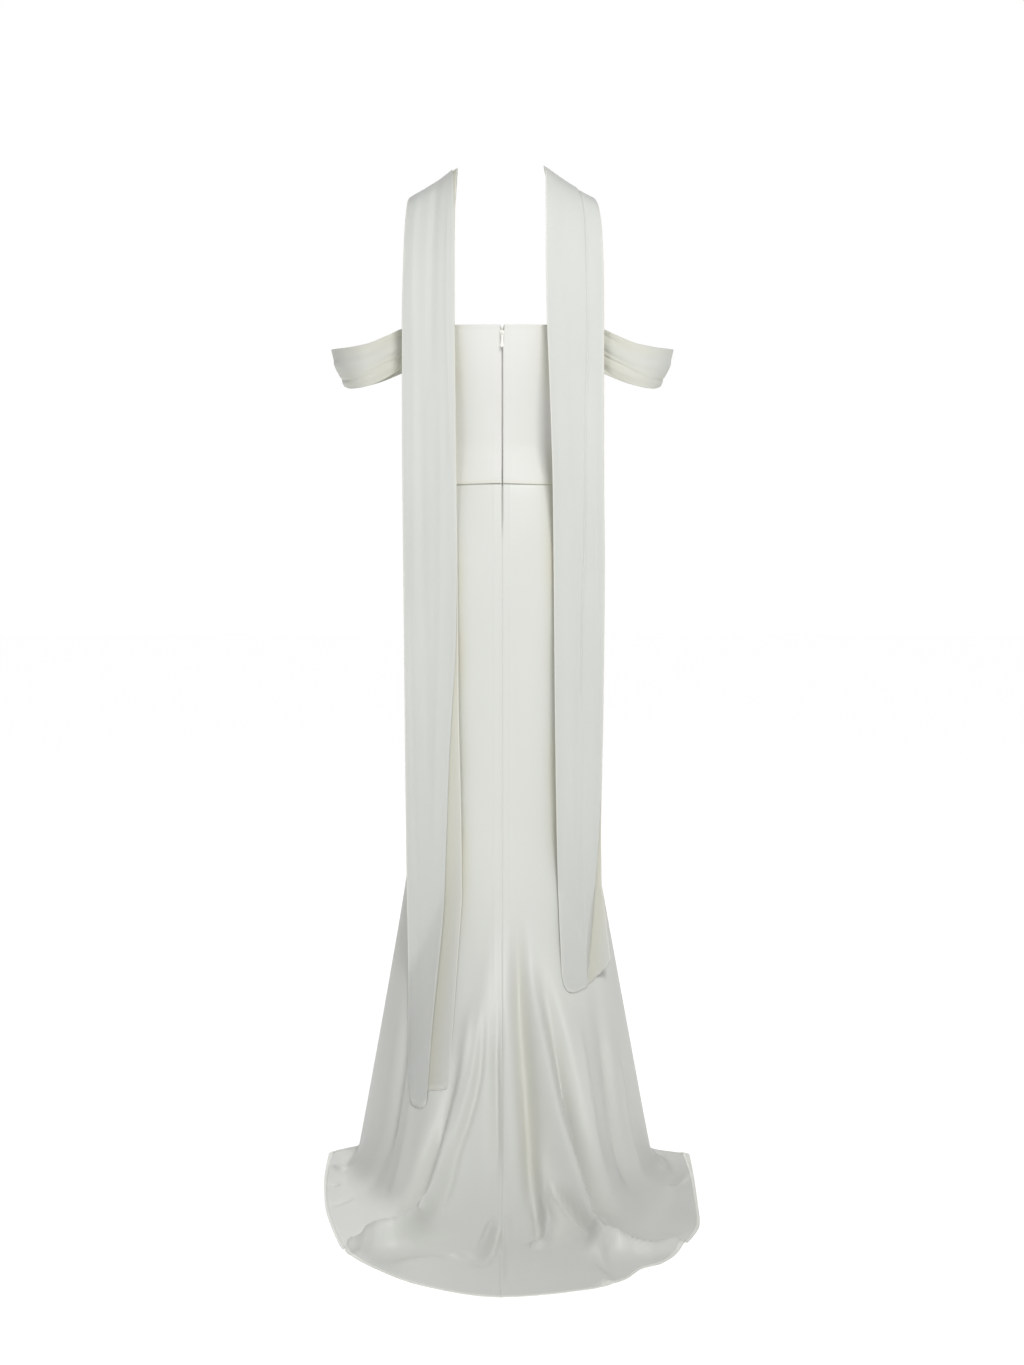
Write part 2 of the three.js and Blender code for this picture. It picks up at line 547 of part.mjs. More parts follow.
const SCARF_TABLES = {
  1: { run: LEFT_SCARF, end: LEFT_SCARF_END, end_pleat: 0.5, over_outer: 1, outer_columns: 4 },
  [-1]: { run: RIGHT_SCARF, end: RIGHT_SCARF_END, end_pleat: 0.5, over_outer: -1, outer_columns: 3 },
};
const SCARF_END_ROWS = 9;
const SHOULDER_END = 420;
const SHOULDER_DIP = 3;
const SCARF_ROOT_GAP = 1.1;
const SCARF_CLEARANCE = 3.5;
const SCARF_SEWN_TO = 27;
const SCARF_SEWN_ROWS = 3;
// How much further back a ridge reaches at one height than it stands out of the sloping skirt.
const RIDGE_LEAN = 1.3;
// Depths across a scarf: the pleat's step, its soft waves, and the roll of its two edges.
const PLEAT_STEP = 5;
const PLEAT_SHARPNESS = 0.06;
const WAVE_COUNT = 3;
const WAVE_DEPTH = 1.5;
const EDGE_ROLL = 3;

/** The place on the front of the bodice, or moved out from it, at an x and a height. */
function bodiceFrontPoint(x, height, outset) {
  const level = (angle) => bodicePoint(height, angle, outset);
  return level(angleAt(level, x, Math.sign(x) * 180, Math.sign(x) * 90));
}

/** The back of the skirt or bodice at an x and a height, as a y, over any ridge there. */
function backSurfaceY(x, height) {
  if (height >= KNEE) {
    const level = (angle) => sectionPoint(height, angle, height > BODICE_BOTTOM ? BODICE_OUTSET : 0);
    return level(angleAt(level, x, 0, Math.sign(x) * 90)).y;
  }
  const levelDrop = (angle) => {
    let from = 0;
    let to = 1;
    for (let i = 0; i < 18; i += 1) {
      const middle = (from + to) / 2;
      if (skirtFlare(angle, middle).z > height) from = middle;
      else to = middle;
    }
    return skirtFlare(angle, from);
  };
  const point = levelDrop(angleAt(levelDrop, x, 0, Math.sign(x) * 90));
  return point.y + Math.max(foldHeight(point), 0) * RIDGE_LEAN;
}

/** Depth of the cloth of a scarf across its width, from its pleat, its waves and its rolled edges. */
function scarfRelief(share, pleat, overOuter, strength) {
  const across = (share - pleat) / PLEAT_SHARPNESS;
  const step = (PLEAT_STEP / 2) * (1 - overOuter * Math.tanh(across));
  const wave = WAVE_DEPTH * Math.sin((share * WAVE_COUNT + pleat) * 2 * Math.PI);
  const roll = -EDGE_ROLL * (Math.exp(-((share / 0.07) ** 2)) + Math.exp(-(((1 - share) / 0.07) ** 2)));
  return strength * (step + wave + roll);
}

/** Shares of a scarf's width for its columns, which keep to either side of its pleat. */
function scarfShares(pleat, outerColumns) {
  const before = spaced(0, pleat - PLEAT_SHARPNESS, outerColumns);
  const step = spaced(pleat - PLEAT_SHARPNESS, pleat + PLEAT_SHARPNESS, PLEAT_COLUMNS).slice(1);
  const after = spaced(pleat + PLEAT_SHARPNESS, 1, SCARF_COLUMNS - outerColumns - PLEAT_COLUMNS).slice(1);
  return [...before, ...step, ...after];
}

/** Unit normals of a grid of points, from each point's neighbours, facing the outside. */
function gridNormals(grid) {
  return grid.map((row, i) => row.map((_, j) => {
    const right = row[Math.min(j + 1, row.length - 1)].clone().sub(row[Math.max(j - 1, 0)]);
    const down = grid[Math.min(i + 1, grid.length - 1)][j].clone().sub(grid[Math.max(i - 1, 0)][j]);
    return down.cross(right).normalize();
  }));
}

/** A closed wall whose inside is its outside moved in along the normals. */
function offsetWall(name, outer, wall, material) {
  const normals = gridNormals(outer);
  const inner = outer.map((row, i) => row.map((point, j) => point.clone().addScaledVector(normals[i][j], -wall)));
  return clothWall(name, outer, inner, material);
}

function scarfPanel(name, side, material) {
  const tables = SCARF_TABLES[side];
  const place = smoothTable(tables.run, 'run');
  const end = smoothTable(tables.end, 'share');
  const lastRun = tables.run.at(-1).run;
  const settle = (x, y, z, relief) => {
    const body = backSurfaceY(side * x, z) + SCARF_CLEARANCE + CHIFFON_WALL + PLEAT_STEP / 2;
    return new THREE.Vector3(side * x, Math.max(y, body) + relief, z);
  };
  const grid = [];
  for (const run of spaced(0, SCARF_SEWN_TO, SCARF_SEWN_ROWS)) {
    const { inner_x: innerX, inner_z: z, outer_x: outerX, pleat } = place(run);
    const shares = scarfShares(pleat, tables.outer_columns);
    const outset = BODICE_OUTSET + SCARF_ROOT_GAP + CHIFFON_WALL;
    grid.push(shares.map((share) => bodiceFrontPoint(side * lerp(outerX, innerX, share), z, outset)));
  }
  for (const run of spaced(SCARF_SEWN_TO, lastRun, SCARF_ROWS - SCARF_END_ROWS).slice(1)) {
    const at = place(run);
    const ahead = place(run + 8);
    const behind = place(run - 8);
    const away = new THREE.Vector2(behind.inner_z - ahead.inner_z, ahead.inner_y - behind.inner_y).normalize();
    const strength = smoothstep(run, SCARF_SEWN_TO, 300);
    grid.push(scarfShares(at.pleat, tables.outer_columns).map((share) => {
      const x = lerp(at.outer_x, at.inner_x, share);
      const relief = scarfRelief(share, at.pleat, tables.over_outer, strength);
      const y = lerp(at.outer_y, at.inner_y, share) + away.x * relief;
      const z = lerp(at.outer_z, at.inner_z, share) + away.y * relief - SHOULDER_DIP * 4 * share * (1 - share) * strength;
      return run < SHOULDER_END ? new THREE.Vector3(side * x, y, z) : settle(x, y - relief, z, relief);
    }));
  }
  const from = place(lastRun);
  for (const fall of spaced(0, 1, SCARF_END_ROWS).slice(1)) {
    const pleat = lerp(from.pleat, tables.end_pleat, fall);
    grid.push(scarfShares(pleat, tables.outer_columns).map((share) => {
      const tip = end(share);
      const x = lerp(lerp(from.outer_x, from.inner_x, share), tip.x, fall);
      const z = lerp(from.inner_z, tip.z, fall);
      return settle(x, from.inner_y, z, scarfRelief(share, pleat, tables.over_outer, 1));
    }));
  }
  if (side === -1) grid.forEach((row) => row.reverse());
  return offsetWall(name, grid, CHIFFON_WALL, material);
}

// ---- Off-shoulder bands ----

// Upper and lower edge of a band, from the back of the bodice round the arm to its front.
const BAND_EDGES = [
  { share: 0, top_x: 127, top_y: 53, top_z: 1255, low_x: 127, low_y: 53, low_z: 1209 },
  { share: 0.08, top_x: 147, top_y: 65, top_z: 1253, low_x: 147, low_y: 66, low_z: 1196 },
  { share: 0.17, top_x: 170, top_y: 72, top_z: 1243, low_x: 166, low_y: 72, low_z: 1183 },
  { share: 0.29, top_x: 204, top_y: 68, top_z: 1230, low_x: 199, low_y: 68, low_z: 1168 },
  { share: 0.4, top_x: 237, top_y: 46, top_z: 1225, low_x: 226, low_y: 46, low_z: 1164 },
  { share: 0.5, top_x: 259, top_y: 0, top_z: 1224, low_x: 238, low_y: 2, low_z: 1168 },
  { share: 0.6, top_x: 240, top_y: -44, top_z: 1228, low_x: 226, low_y: -42, low_z: 1167 },
  { share: 0.72, top_x: 204, top_y: -68, top_z: 1236, low_x: 196, low_y: -66, low_z: 1174 },
  { share: 0.85, top_x: 160, top_y: -78, top_z: 1248, low_x: 156, low_y: -76, low_z: 1190 },
  { share: 1, top_x: 121, top_y: -66, top_z: 1256, low_x: 121, low_y: -66, low_z: 1206 },
];
const BAND_BULGE = 3;
const BAND_FOLD_DEPTH = 2.4;
const BAND_FOLD_COUNT = 2.5;
const BAND_ROOT_GAP = 0.7;

function shoulderBand(name, side, material) {
  const edge = smoothTable(BAND_EDGES, 'share');
  const outset = BODICE_OUTSET + BAND_ROOT_GAP + CHIFFON_WALL;
  const grid = spaced(0, 1, BAND_COLUMNS).map((down) => spaced(0, 1, BAND_ROWS).map((share) => {
    const at = edge(share);
    const point = new THREE.Vector3(
      side * lerp(at.top_x, at.low_x, down),
      lerp(at.top_y, at.low_y, down),
      lerp(at.top_z, at.low_z, down),
    );
    if (share === 0 || share === 1) {
      const level = (angle) => bodicePoint(point.z, angle, outset);
      return level(angleAt(level, point.x, share === 0 ? 0 : side * 180, side * 90));
    }
    const ahead = edge(Math.min(share + 0.03, 1));
    const behind = edge(Math.max(share - 0.03, 0));
    const along = new THREE.Vector3(side * (ahead.top_x - behind.top_x), ahead.top_y - behind.top_y, 0);
    const outward = new THREE.Vector3(-along.y, along.x, 0).multiplyScalar(side).normalize();
    const swell = Math.sin(Math.PI * share) ** 0.5;
    const folds = BAND_FOLD_DEPTH * Math.sin((down + 0.25 * share) * BAND_FOLD_COUNT * 2 * Math.PI);
    const bulge = BAND_BULGE * Math.sin(Math.PI * down);
    return point.addScaledVector(outward, swell * (bulge + folds));
  }));
  if (side === 1) grid.forEach((row) => row.reverse());
  return offsetWall(name, grid, CHIFFON_WALL, material);
}

// ---- Zip ----

const TAPE_HALF_WIDTH = 11;
const TAPE_WALL = 1;
const TAPE_TOP = 1256;
const TAPE_TUCK = 1037;
const TAPE_ROWS = [
  TAPE_TOP,
  ...BODICE_ROWS.slice(1, -1).map((down) => lerp(BACK_NECKLINE, BODICE_BOTTOM, down)),
  TAPE_TUCK,
  ...SKIRT_UPPER_ROWS.slice(0, 4),
];
const TAPE_COLUMNS = 4;
const SLIDER = { height: 1244.5, length: 9, half_width: 3, thickness: 2 };
const LUG = { inner_radius: 0.95, outer_radius: 1.95, width: 1.2, stand_off: 1.3 };
const PULL = {
  length: 20.5, thickness: 1, bar: 0.5, window: 1.25, window_end: 2.6,
  eye: 2.25, eye_end: 3.4, neck: 1.4, neck_end: 6.2, drop: 2.7,
};

function zipTape(material) {
  const outer = TAPE_ROWS.map((height) => {
    const inBodice = smoothstep(height, 1034, 1047);
    const outset = lerp(-SKIRT_WALL - SEAM_GAP, BODICE_OUTSET - BODICE_WALL - SEAM_GAP, inBodice);
    const level = (angle) => sectionPoint(height, angle, outset);
    return spaced(TAPE_HALF_WIDTH, -TAPE_HALF_WIDTH, TAPE_COLUMNS).map((x) => level(angleAt(level, x, -20, 20)));
  });
  return offsetWall('zip_tape', outer, TAPE_WALL, material);
}

/** Joins closed geometries into one. */
function joined(geometries) {
  const solids = geometries.map((geometry) => {
    geometry.deleteAttribute('normal');
    geometry.deleteAttribute('uv');
    const merged = mergeVertices(geometry);
    return new wasm.Manifold(new wasm.Mesh({
      numProp: 3,
      vertProperties: new Float32Array(merged.attributes.position.array),
      triVerts: new Uint32Array(merged.index.array),
    }));
  });
  const mesh = solids.reduce((whole, solid) => whole.add(solid)).getMesh();
  const result = new THREE.BufferGeometry();
  result.setAttribute('position', new THREE.BufferAttribute(mesh.vertProperties, 3));
  result.setIndex(new THREE.BufferAttribute(mesh.triVerts, 1));
  result.computeVertexNormals();
  return result;
}

// The slider's back lies just off the bodice; the pull's bar turns on this line, inside the lug.
const SLIDER_BACK_Y = bodySection(SLIDER.height + SLIDER.length / 2).back + BODICE_OUTSET + SEAM_GAP;
const PULL_AXIS_Y = SLIDER_BACK_Y + SLIDER.thickness + LUG.stand_off;

/** A plate drawn as seen from the back of the dress, x by z, and given its thickness along Y. */
function plateFrom(shape, thickness, backY) {
  const geometry = new THREE.ExtrudeGeometry(shape, { depth: thickness, bevelEnabled: false, curveSegments: 6 });
  geometry.rotateX(Math.PI / 2);
  geometry.translate(0, backY + thickness, SLIDER.height);
  return geometry;
}

function zipSlider(material) {
  const half = SLIDER.length / 2;
  const body = new THREE.Shape();
  body.moveTo(-SLIDER.half_width, half - 1.5);
  body.quadraticCurveTo(-SLIDER.half_width, half, 0, half);
  body.quadraticCurveTo(SLIDER.half_width, half, SLIDER.half_width, half - 1.5);
  body.lineTo(SLIDER.half_width * 0.7, -half);
  body.lineTo(-SLIDER.half_width * 0.7, -half);
  const lug = new THREE.Shape();
  const foot = -LUG.stand_off - SLIDER.thickness / 2;
  lug.moveTo(foot, -LUG.outer_radius);
  lug.lineTo(0, -LUG.outer_radius);
  lug.absarc(0, 0, LUG.outer_radius, -Math.PI / 2, Math.PI / 2, false);
  lug.lineTo(foot, LUG.outer_radius);
  const clear = new THREE.Path();
  clear.moveTo(-LUG.stand_off, -LUG.inner_radius);
  clear.lineTo(0, -LUG.inner_radius);
  clear.absarc(0, 0, LUG.inner_radius, -Math.PI / 2, Math.PI / 2, false);
  clear.lineTo(-LUG.stand_off, LUG.inner_radius);
  lug.holes.push(clear);
  const arch = new THREE.ExtrudeGeometry(lug, { depth: LUG.width, bevelEnabled: false, curveSegments: 8 });
  arch.rotateX(Math.PI / 2);
  arch.rotateZ(Math.PI / 2);
  arch.translate(-LUG.width / 2, PULL_AXIS_Y, SLIDER.height);
  const mesh = new THREE.Mesh(joined([plateFrom(body, SLIDER.thickness, SLIDER_BACK_Y), arch]), material);
  mesh.name = 'zip_slider';
  return mesh;
}

/** The teardrop tab, hanging straight down from its bar. */
function zipPull(material) {
  const outline = new THREE.Shape();
  outline.moveTo(-PULL.eye, PULL.bar);
  outline.lineTo(PULL.eye, PULL.bar);
  outline.lineTo(PULL.eye, -PULL.eye_end);
  outline.quadraticCurveTo(PULL.neck, -PULL.eye_end, PULL.neck, -PULL.neck_end);
  const round = PULL.length - PULL.drop;
  outline.quadraticCurveTo(PULL.neck, -round + 6, PULL.drop, -round);
  outline.absarc(0, -round, PULL.drop, 0, -Math.PI, true);
  outline.quadraticCurveTo(-PULL.neck, -round + 6, -PULL.neck, -PULL.neck_end);
  outline.quadraticCurveTo(-PULL.neck, -PULL.eye_end, -PULL.eye, -PULL.eye_end);
  const window = new THREE.Path();
  window.moveTo(-PULL.window, -PULL.bar);
  window.lineTo(-PULL.window, -PULL.window_end);
  window.lineTo(PULL.window, -PULL.window_end);
  window.lineTo(PULL.window, -PULL.bar);
  outline.holes.push(window);
  const geometry = plateFrom(outline, PULL.thickness, PULL_AXIS_Y - PULL.thickness / 2);
  const mesh = new THREE.Mesh(geometry, material);
  mesh.name = 'zip_pull';
  return mesh;
}

// ---- Materials ----

const satin = new THREE.MeshStandardMaterial({ color: 0xe6e6df, roughness: 0.55, metalness: 0 });
const crepe = new THREE.MeshStandardMaterial({ color: 0xeaeae3, roughness: 0.6, metalness: 0 });
const woven = new THREE.MeshStandardMaterial({ color: 0xe9e8e0, roughness: 0.8, metalness: 0 });
const enamel = new THREE.MeshStandardMaterial({ color: 0xf0efe8, roughness: 0.3, metalness: 0 });
const chiffon = new THREE.MeshStandardMaterial({ color: 0xe4e5dd, roughness: 0.75, metalness: 0 });

// ---- Assembly ----

const seam = () => SEAM_GAP;
const dress = new THREE.Group();
dress.add(skirtPanel('skirt_back_left', halfBackAngles.toReversed(), [seam, backGap], satin));
dress.add(skirtPanel('skirt_back_right', halfBackAngles.map((angle) => -angle), [backGap, seam], satin));
dress.add(skirtPanel('skirt_front', frontAngles.toReversed(), [seam, seam], satin));
dress.add(bodicePanel('bodice_back_left', 90, 0, BODICE_BACK_COLUMNS, [seam, backGap], crepe));
dress.add(bodicePanel('bodice_back_right', 0, -90, BODICE_BACK_COLUMNS, [backGap, seam], crepe));
dress.add(bodicePanel('bodice_front', 270, 90, BODICE_FRONT_COLUMNS, [seam, seam], crepe));
for (const side of [1, -1]) {
  dress.add(scarfPanel(side === 1 ? 'scarf_left' : 'scarf_right', side, chiffon));
  dress.add(shoulderBand(side === 1 ? 'shoulder_band_left' : 'shoulder_band_right', side, chiffon));
}
dress.add(zipTape(woven), zipSlider(enamel), zipPull(enamel));
dress.position.z = -WAIST_HEIGHT;

export default dress;
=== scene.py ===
"""A strapless mermaid wedding gown with a short train, two chiffon scarf panels and off-shoulder bands.

Lengths in the tables are millimetres, with heights counted from the floor. Blender's own lengths are
metres, with the origin at the natural waist. +Y is the back of the gown, +X the wearer's left.
"""

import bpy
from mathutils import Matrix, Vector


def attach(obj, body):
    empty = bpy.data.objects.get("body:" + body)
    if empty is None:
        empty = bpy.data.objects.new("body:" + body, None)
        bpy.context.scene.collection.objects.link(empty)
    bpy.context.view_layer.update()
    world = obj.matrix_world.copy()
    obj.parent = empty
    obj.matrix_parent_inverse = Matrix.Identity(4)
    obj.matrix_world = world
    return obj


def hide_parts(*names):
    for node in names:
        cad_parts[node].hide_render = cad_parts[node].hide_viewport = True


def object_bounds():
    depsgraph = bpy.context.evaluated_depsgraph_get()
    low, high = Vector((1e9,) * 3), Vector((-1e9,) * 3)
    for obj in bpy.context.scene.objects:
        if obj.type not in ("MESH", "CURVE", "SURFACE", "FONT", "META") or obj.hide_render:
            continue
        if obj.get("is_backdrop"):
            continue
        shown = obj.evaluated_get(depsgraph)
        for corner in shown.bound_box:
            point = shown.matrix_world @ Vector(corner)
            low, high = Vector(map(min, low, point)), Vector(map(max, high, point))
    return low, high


bl_info = {
    "name": "Mermaid gown with train",
    "version": (1, 0, 0),
    "blender": (4, 5, 0),
    "location": "3D View > Sidebar > Gown",
    "description": "Dresses the gown's solids in cloth, stitching and zip parts, and sets the studio",
    "category": "Object",
}

import math

import bmesh
import bpy
import numpy as np
from mathutils import Matrix, Vector
from mathutils.bvhtree import BVHTree

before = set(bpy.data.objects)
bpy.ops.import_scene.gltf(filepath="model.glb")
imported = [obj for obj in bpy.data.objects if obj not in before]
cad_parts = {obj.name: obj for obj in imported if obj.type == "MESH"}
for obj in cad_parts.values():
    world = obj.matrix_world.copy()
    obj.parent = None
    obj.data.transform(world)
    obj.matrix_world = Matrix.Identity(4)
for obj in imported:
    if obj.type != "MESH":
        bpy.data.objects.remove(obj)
CAD_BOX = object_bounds()

# ---- Sizes of the gown, in millimetres from the floor ----

WAIST_HEIGHT = 1085.0
BODICE_BOTTOM = 1022.0
BACK_NECKLINE = 1257.5
SKIRT_TOP = 1030.0
ZIP_END = 958.0
SLIDER_TOP = 1243.0
KNEE = 500.0

SEWN_GAP = 0.08
ZIP_SLIT = 0.6
ZIP_PARTED = 6.5
SEAM_DEPTH = 0.45
ZIP_SLIT_DEPTH = 2.4
PRESSED_WIDTH = 1.0
SKIRT_WALL = 1.6
BODICE_OUTSET = 2.8
SECTION_FULLNESS = 0.035

# Level sections of the body: height, half width, depth at the back, depth at the front.
BODY_SECTIONS = [
    (500, 143, 112, 95), (600, 144.5, 109, 95), (680, 146, 110, 96), (760, 147.5, 113, 97),
    (840, 148.5, 118, 99), (900, 148.5, 120, 100), (940, 147, 117, 99), (985, 142, 108, 96),
    (1024, 133, 96, 92), (1055, 121, 84, 87), (1085, 116, 78, 85), (1125, 119, 80, 88),
    (1165, 127, 86, 97), (1200, 137, 92, 108), (1235, 140.5, 96, 114), (1257, 140, 97, 110),
    (1290, 137, 92, 98), (1330, 134, 84, 88),
]
CUP = {"angle": 144, "height": 1226, "depth": 26, "spread": 21, "reach": 40}

# Upper edge of the bodice: angle from the centre of the back, height.
NECKLINE = [
    (0, 1257.5), (48, 1257.5), (90, 1262), (108, 1278), (124, 1296),
    (134, 1298), (143, 1281), (151, 1265), (163, 1260), (180, 1255),
]

# Lines of the skirt below the knee: angle, break x, break y, hem x, hem y, flare from, softness.
TRAIN_CUT = [
    (-180, 0, -188, 0, -196, 0.15, 0.15), (-157, -78, -172, -81, -180, 0.15, 0.15),
    (-135, -146, -132, -150, -138, 0.14, 0.13), (-112, -197, -66, -204, -70, 0.12, 0.1),
    (-98, -221, -2, -233, 28, 0.09, 0.08), (-94, -225, 17, -256, 40, 0.08, 0.07),
    (-90, -227, 36, -285, 53, 0.08, 0.06), (-80, -226, 70, -284, 150, 0.1, 0.08),
    (-60, -210, 180, -279, 356, 0.2, 0.15), (-50, -195, 252, -275, 466, 0.26, 0.21),
    (-40, -176, 320, -254, 563, 0.32, 0.27), (-28, -145, 410, -211, 675, 0.38, 0.33),
    (-24, -130, 435, -184, 700, 0.4, 0.35), (-18.5, -101, 460, -161, 750, 0.42, 0.37),
    (-12, -66, 480, -112, 797, 0.44, 0.39), (0, 0, 495, 0, 832, 0.45, 0.4),
    (12, 66, 480, 100, 780, 0.44, 0.39), (24, 128, 430, 175, 682, 0.4, 0.35),
    (32, 153, 379, 207, 622, 0.36, 0.31), (40, 172, 320, 226, 538, 0.32, 0.27),
    (60, 204, 180, 253, 346, 0.2, 0.15), (80, 219, 60, 264, 150, 0.1, 0.08),
    (90, 221, 10, 265, 50, 0.14, 0.06), (94, 220, -1, 243, 17, 0.14, 0.07),
    (98, 217, -14, 227, 6, 0.12, 0.08), (112, 196, -66, 203, -70, 0.12, 0.1),
    (135, 144, -132, 150, -138, 0.14, 0.13), (157, 78, -172, 81, -180, 0.15, 0.15),
    (180, 0, -188, 0, -196, 0.15, 0.15),
]
# How gently the cloth turns at the floor, as a share of its drop: in front, and under the train. One passes
# into the other between the two angles, and both are less where little cloth lies on the floor.
BREAK_ROUNDING = 0.05
TRAIN_BREAK_ROUNDING = 0.17
TRAIN_SIDES = (66, 88)
ROUNDING_FULL_RUN = 150.0
LOFT_FULL_RUN = 250.0

# Folds of the skirt: name, height, width at start and end, full from and to, line of (angle, drop).
FOLDS = [
    ("left ridge", 16, 10, 34, 0.7, 0.85,
     [(3, 0.08), (7.5, 0.27), (11.5, 0.42), (15.8, 0.56), (17.4, 0.7), (18.4, 0.82), (23, 0.91), (31, 0.955)]),
    ("trough outside the left ridge", -13, 12, 20, 0.5, 0.9, [(13, 0.34), (18.8, 0.54), (22, 0.74)]),
    ("trough left of the seam", -5, 7, 12, 0.4, 0.6, [(1.5, 0.28), (2.2, 0.45), (2, 0.66)]),
    ("trough right of the seam", -12, 11, 15, 0.4, 0.8,
     [(-6.5, 0.12), (-8.6, 0.25), (-8.4, 0.4), (-8.6, 0.54), (-8, 0.72)]),
    ("narrow pleat", 9, 7, 10, 0.35, 0.7, [(-10.8, 0.52), (-10.8, 0.64), (-10.6, 0.75)]),
    ("right ridge", 16, 10, 34, 0.6, 0.85,
     [(-7, 0.12), (-13.5, 0.34), (-16.5, 0.5), (-19, 0.64), (-19.2, 0.77), (-20, 0.87), (-30, 0.95)]),
    ("trough outside the right ridge", -15, 13, 20, 0.4, 0.85,
     [(-16.5, 0.2), (-23, 0.4), (-25.8, 0.57), (-24, 0.75)]),
    ("soft trough on the right side", -6, 18, 24, 0.4, 0.7, [(-54, 0.26), (-47, 0.5), (-42, 0.76)]),
    ("soft trough on the left side", -5, 18, 24, 0.4, 0.7, [(52, 0.3), (46, 0.55), (42, 0.78)]),
    ("front flute, far left", 7, 20, 30, 0.7, 1, [(118, 0.25), (116, 0.6), (115, 1)]),
    ("front flute, left", 8, 20, 28, 0.7, 1, [(152, 0.35), (149, 0.7), (147, 1)]),
    ("front flute, right", 7, 20, 30, 0.7, 1, [(-165, 0.3), (-161, 0.6), (-158, 1)]),
    ("front flute, far right", 8, 20, 28, 0.7, 1, [(-124, 0.32), (-122, 0.7), (-121, 1)]),
]
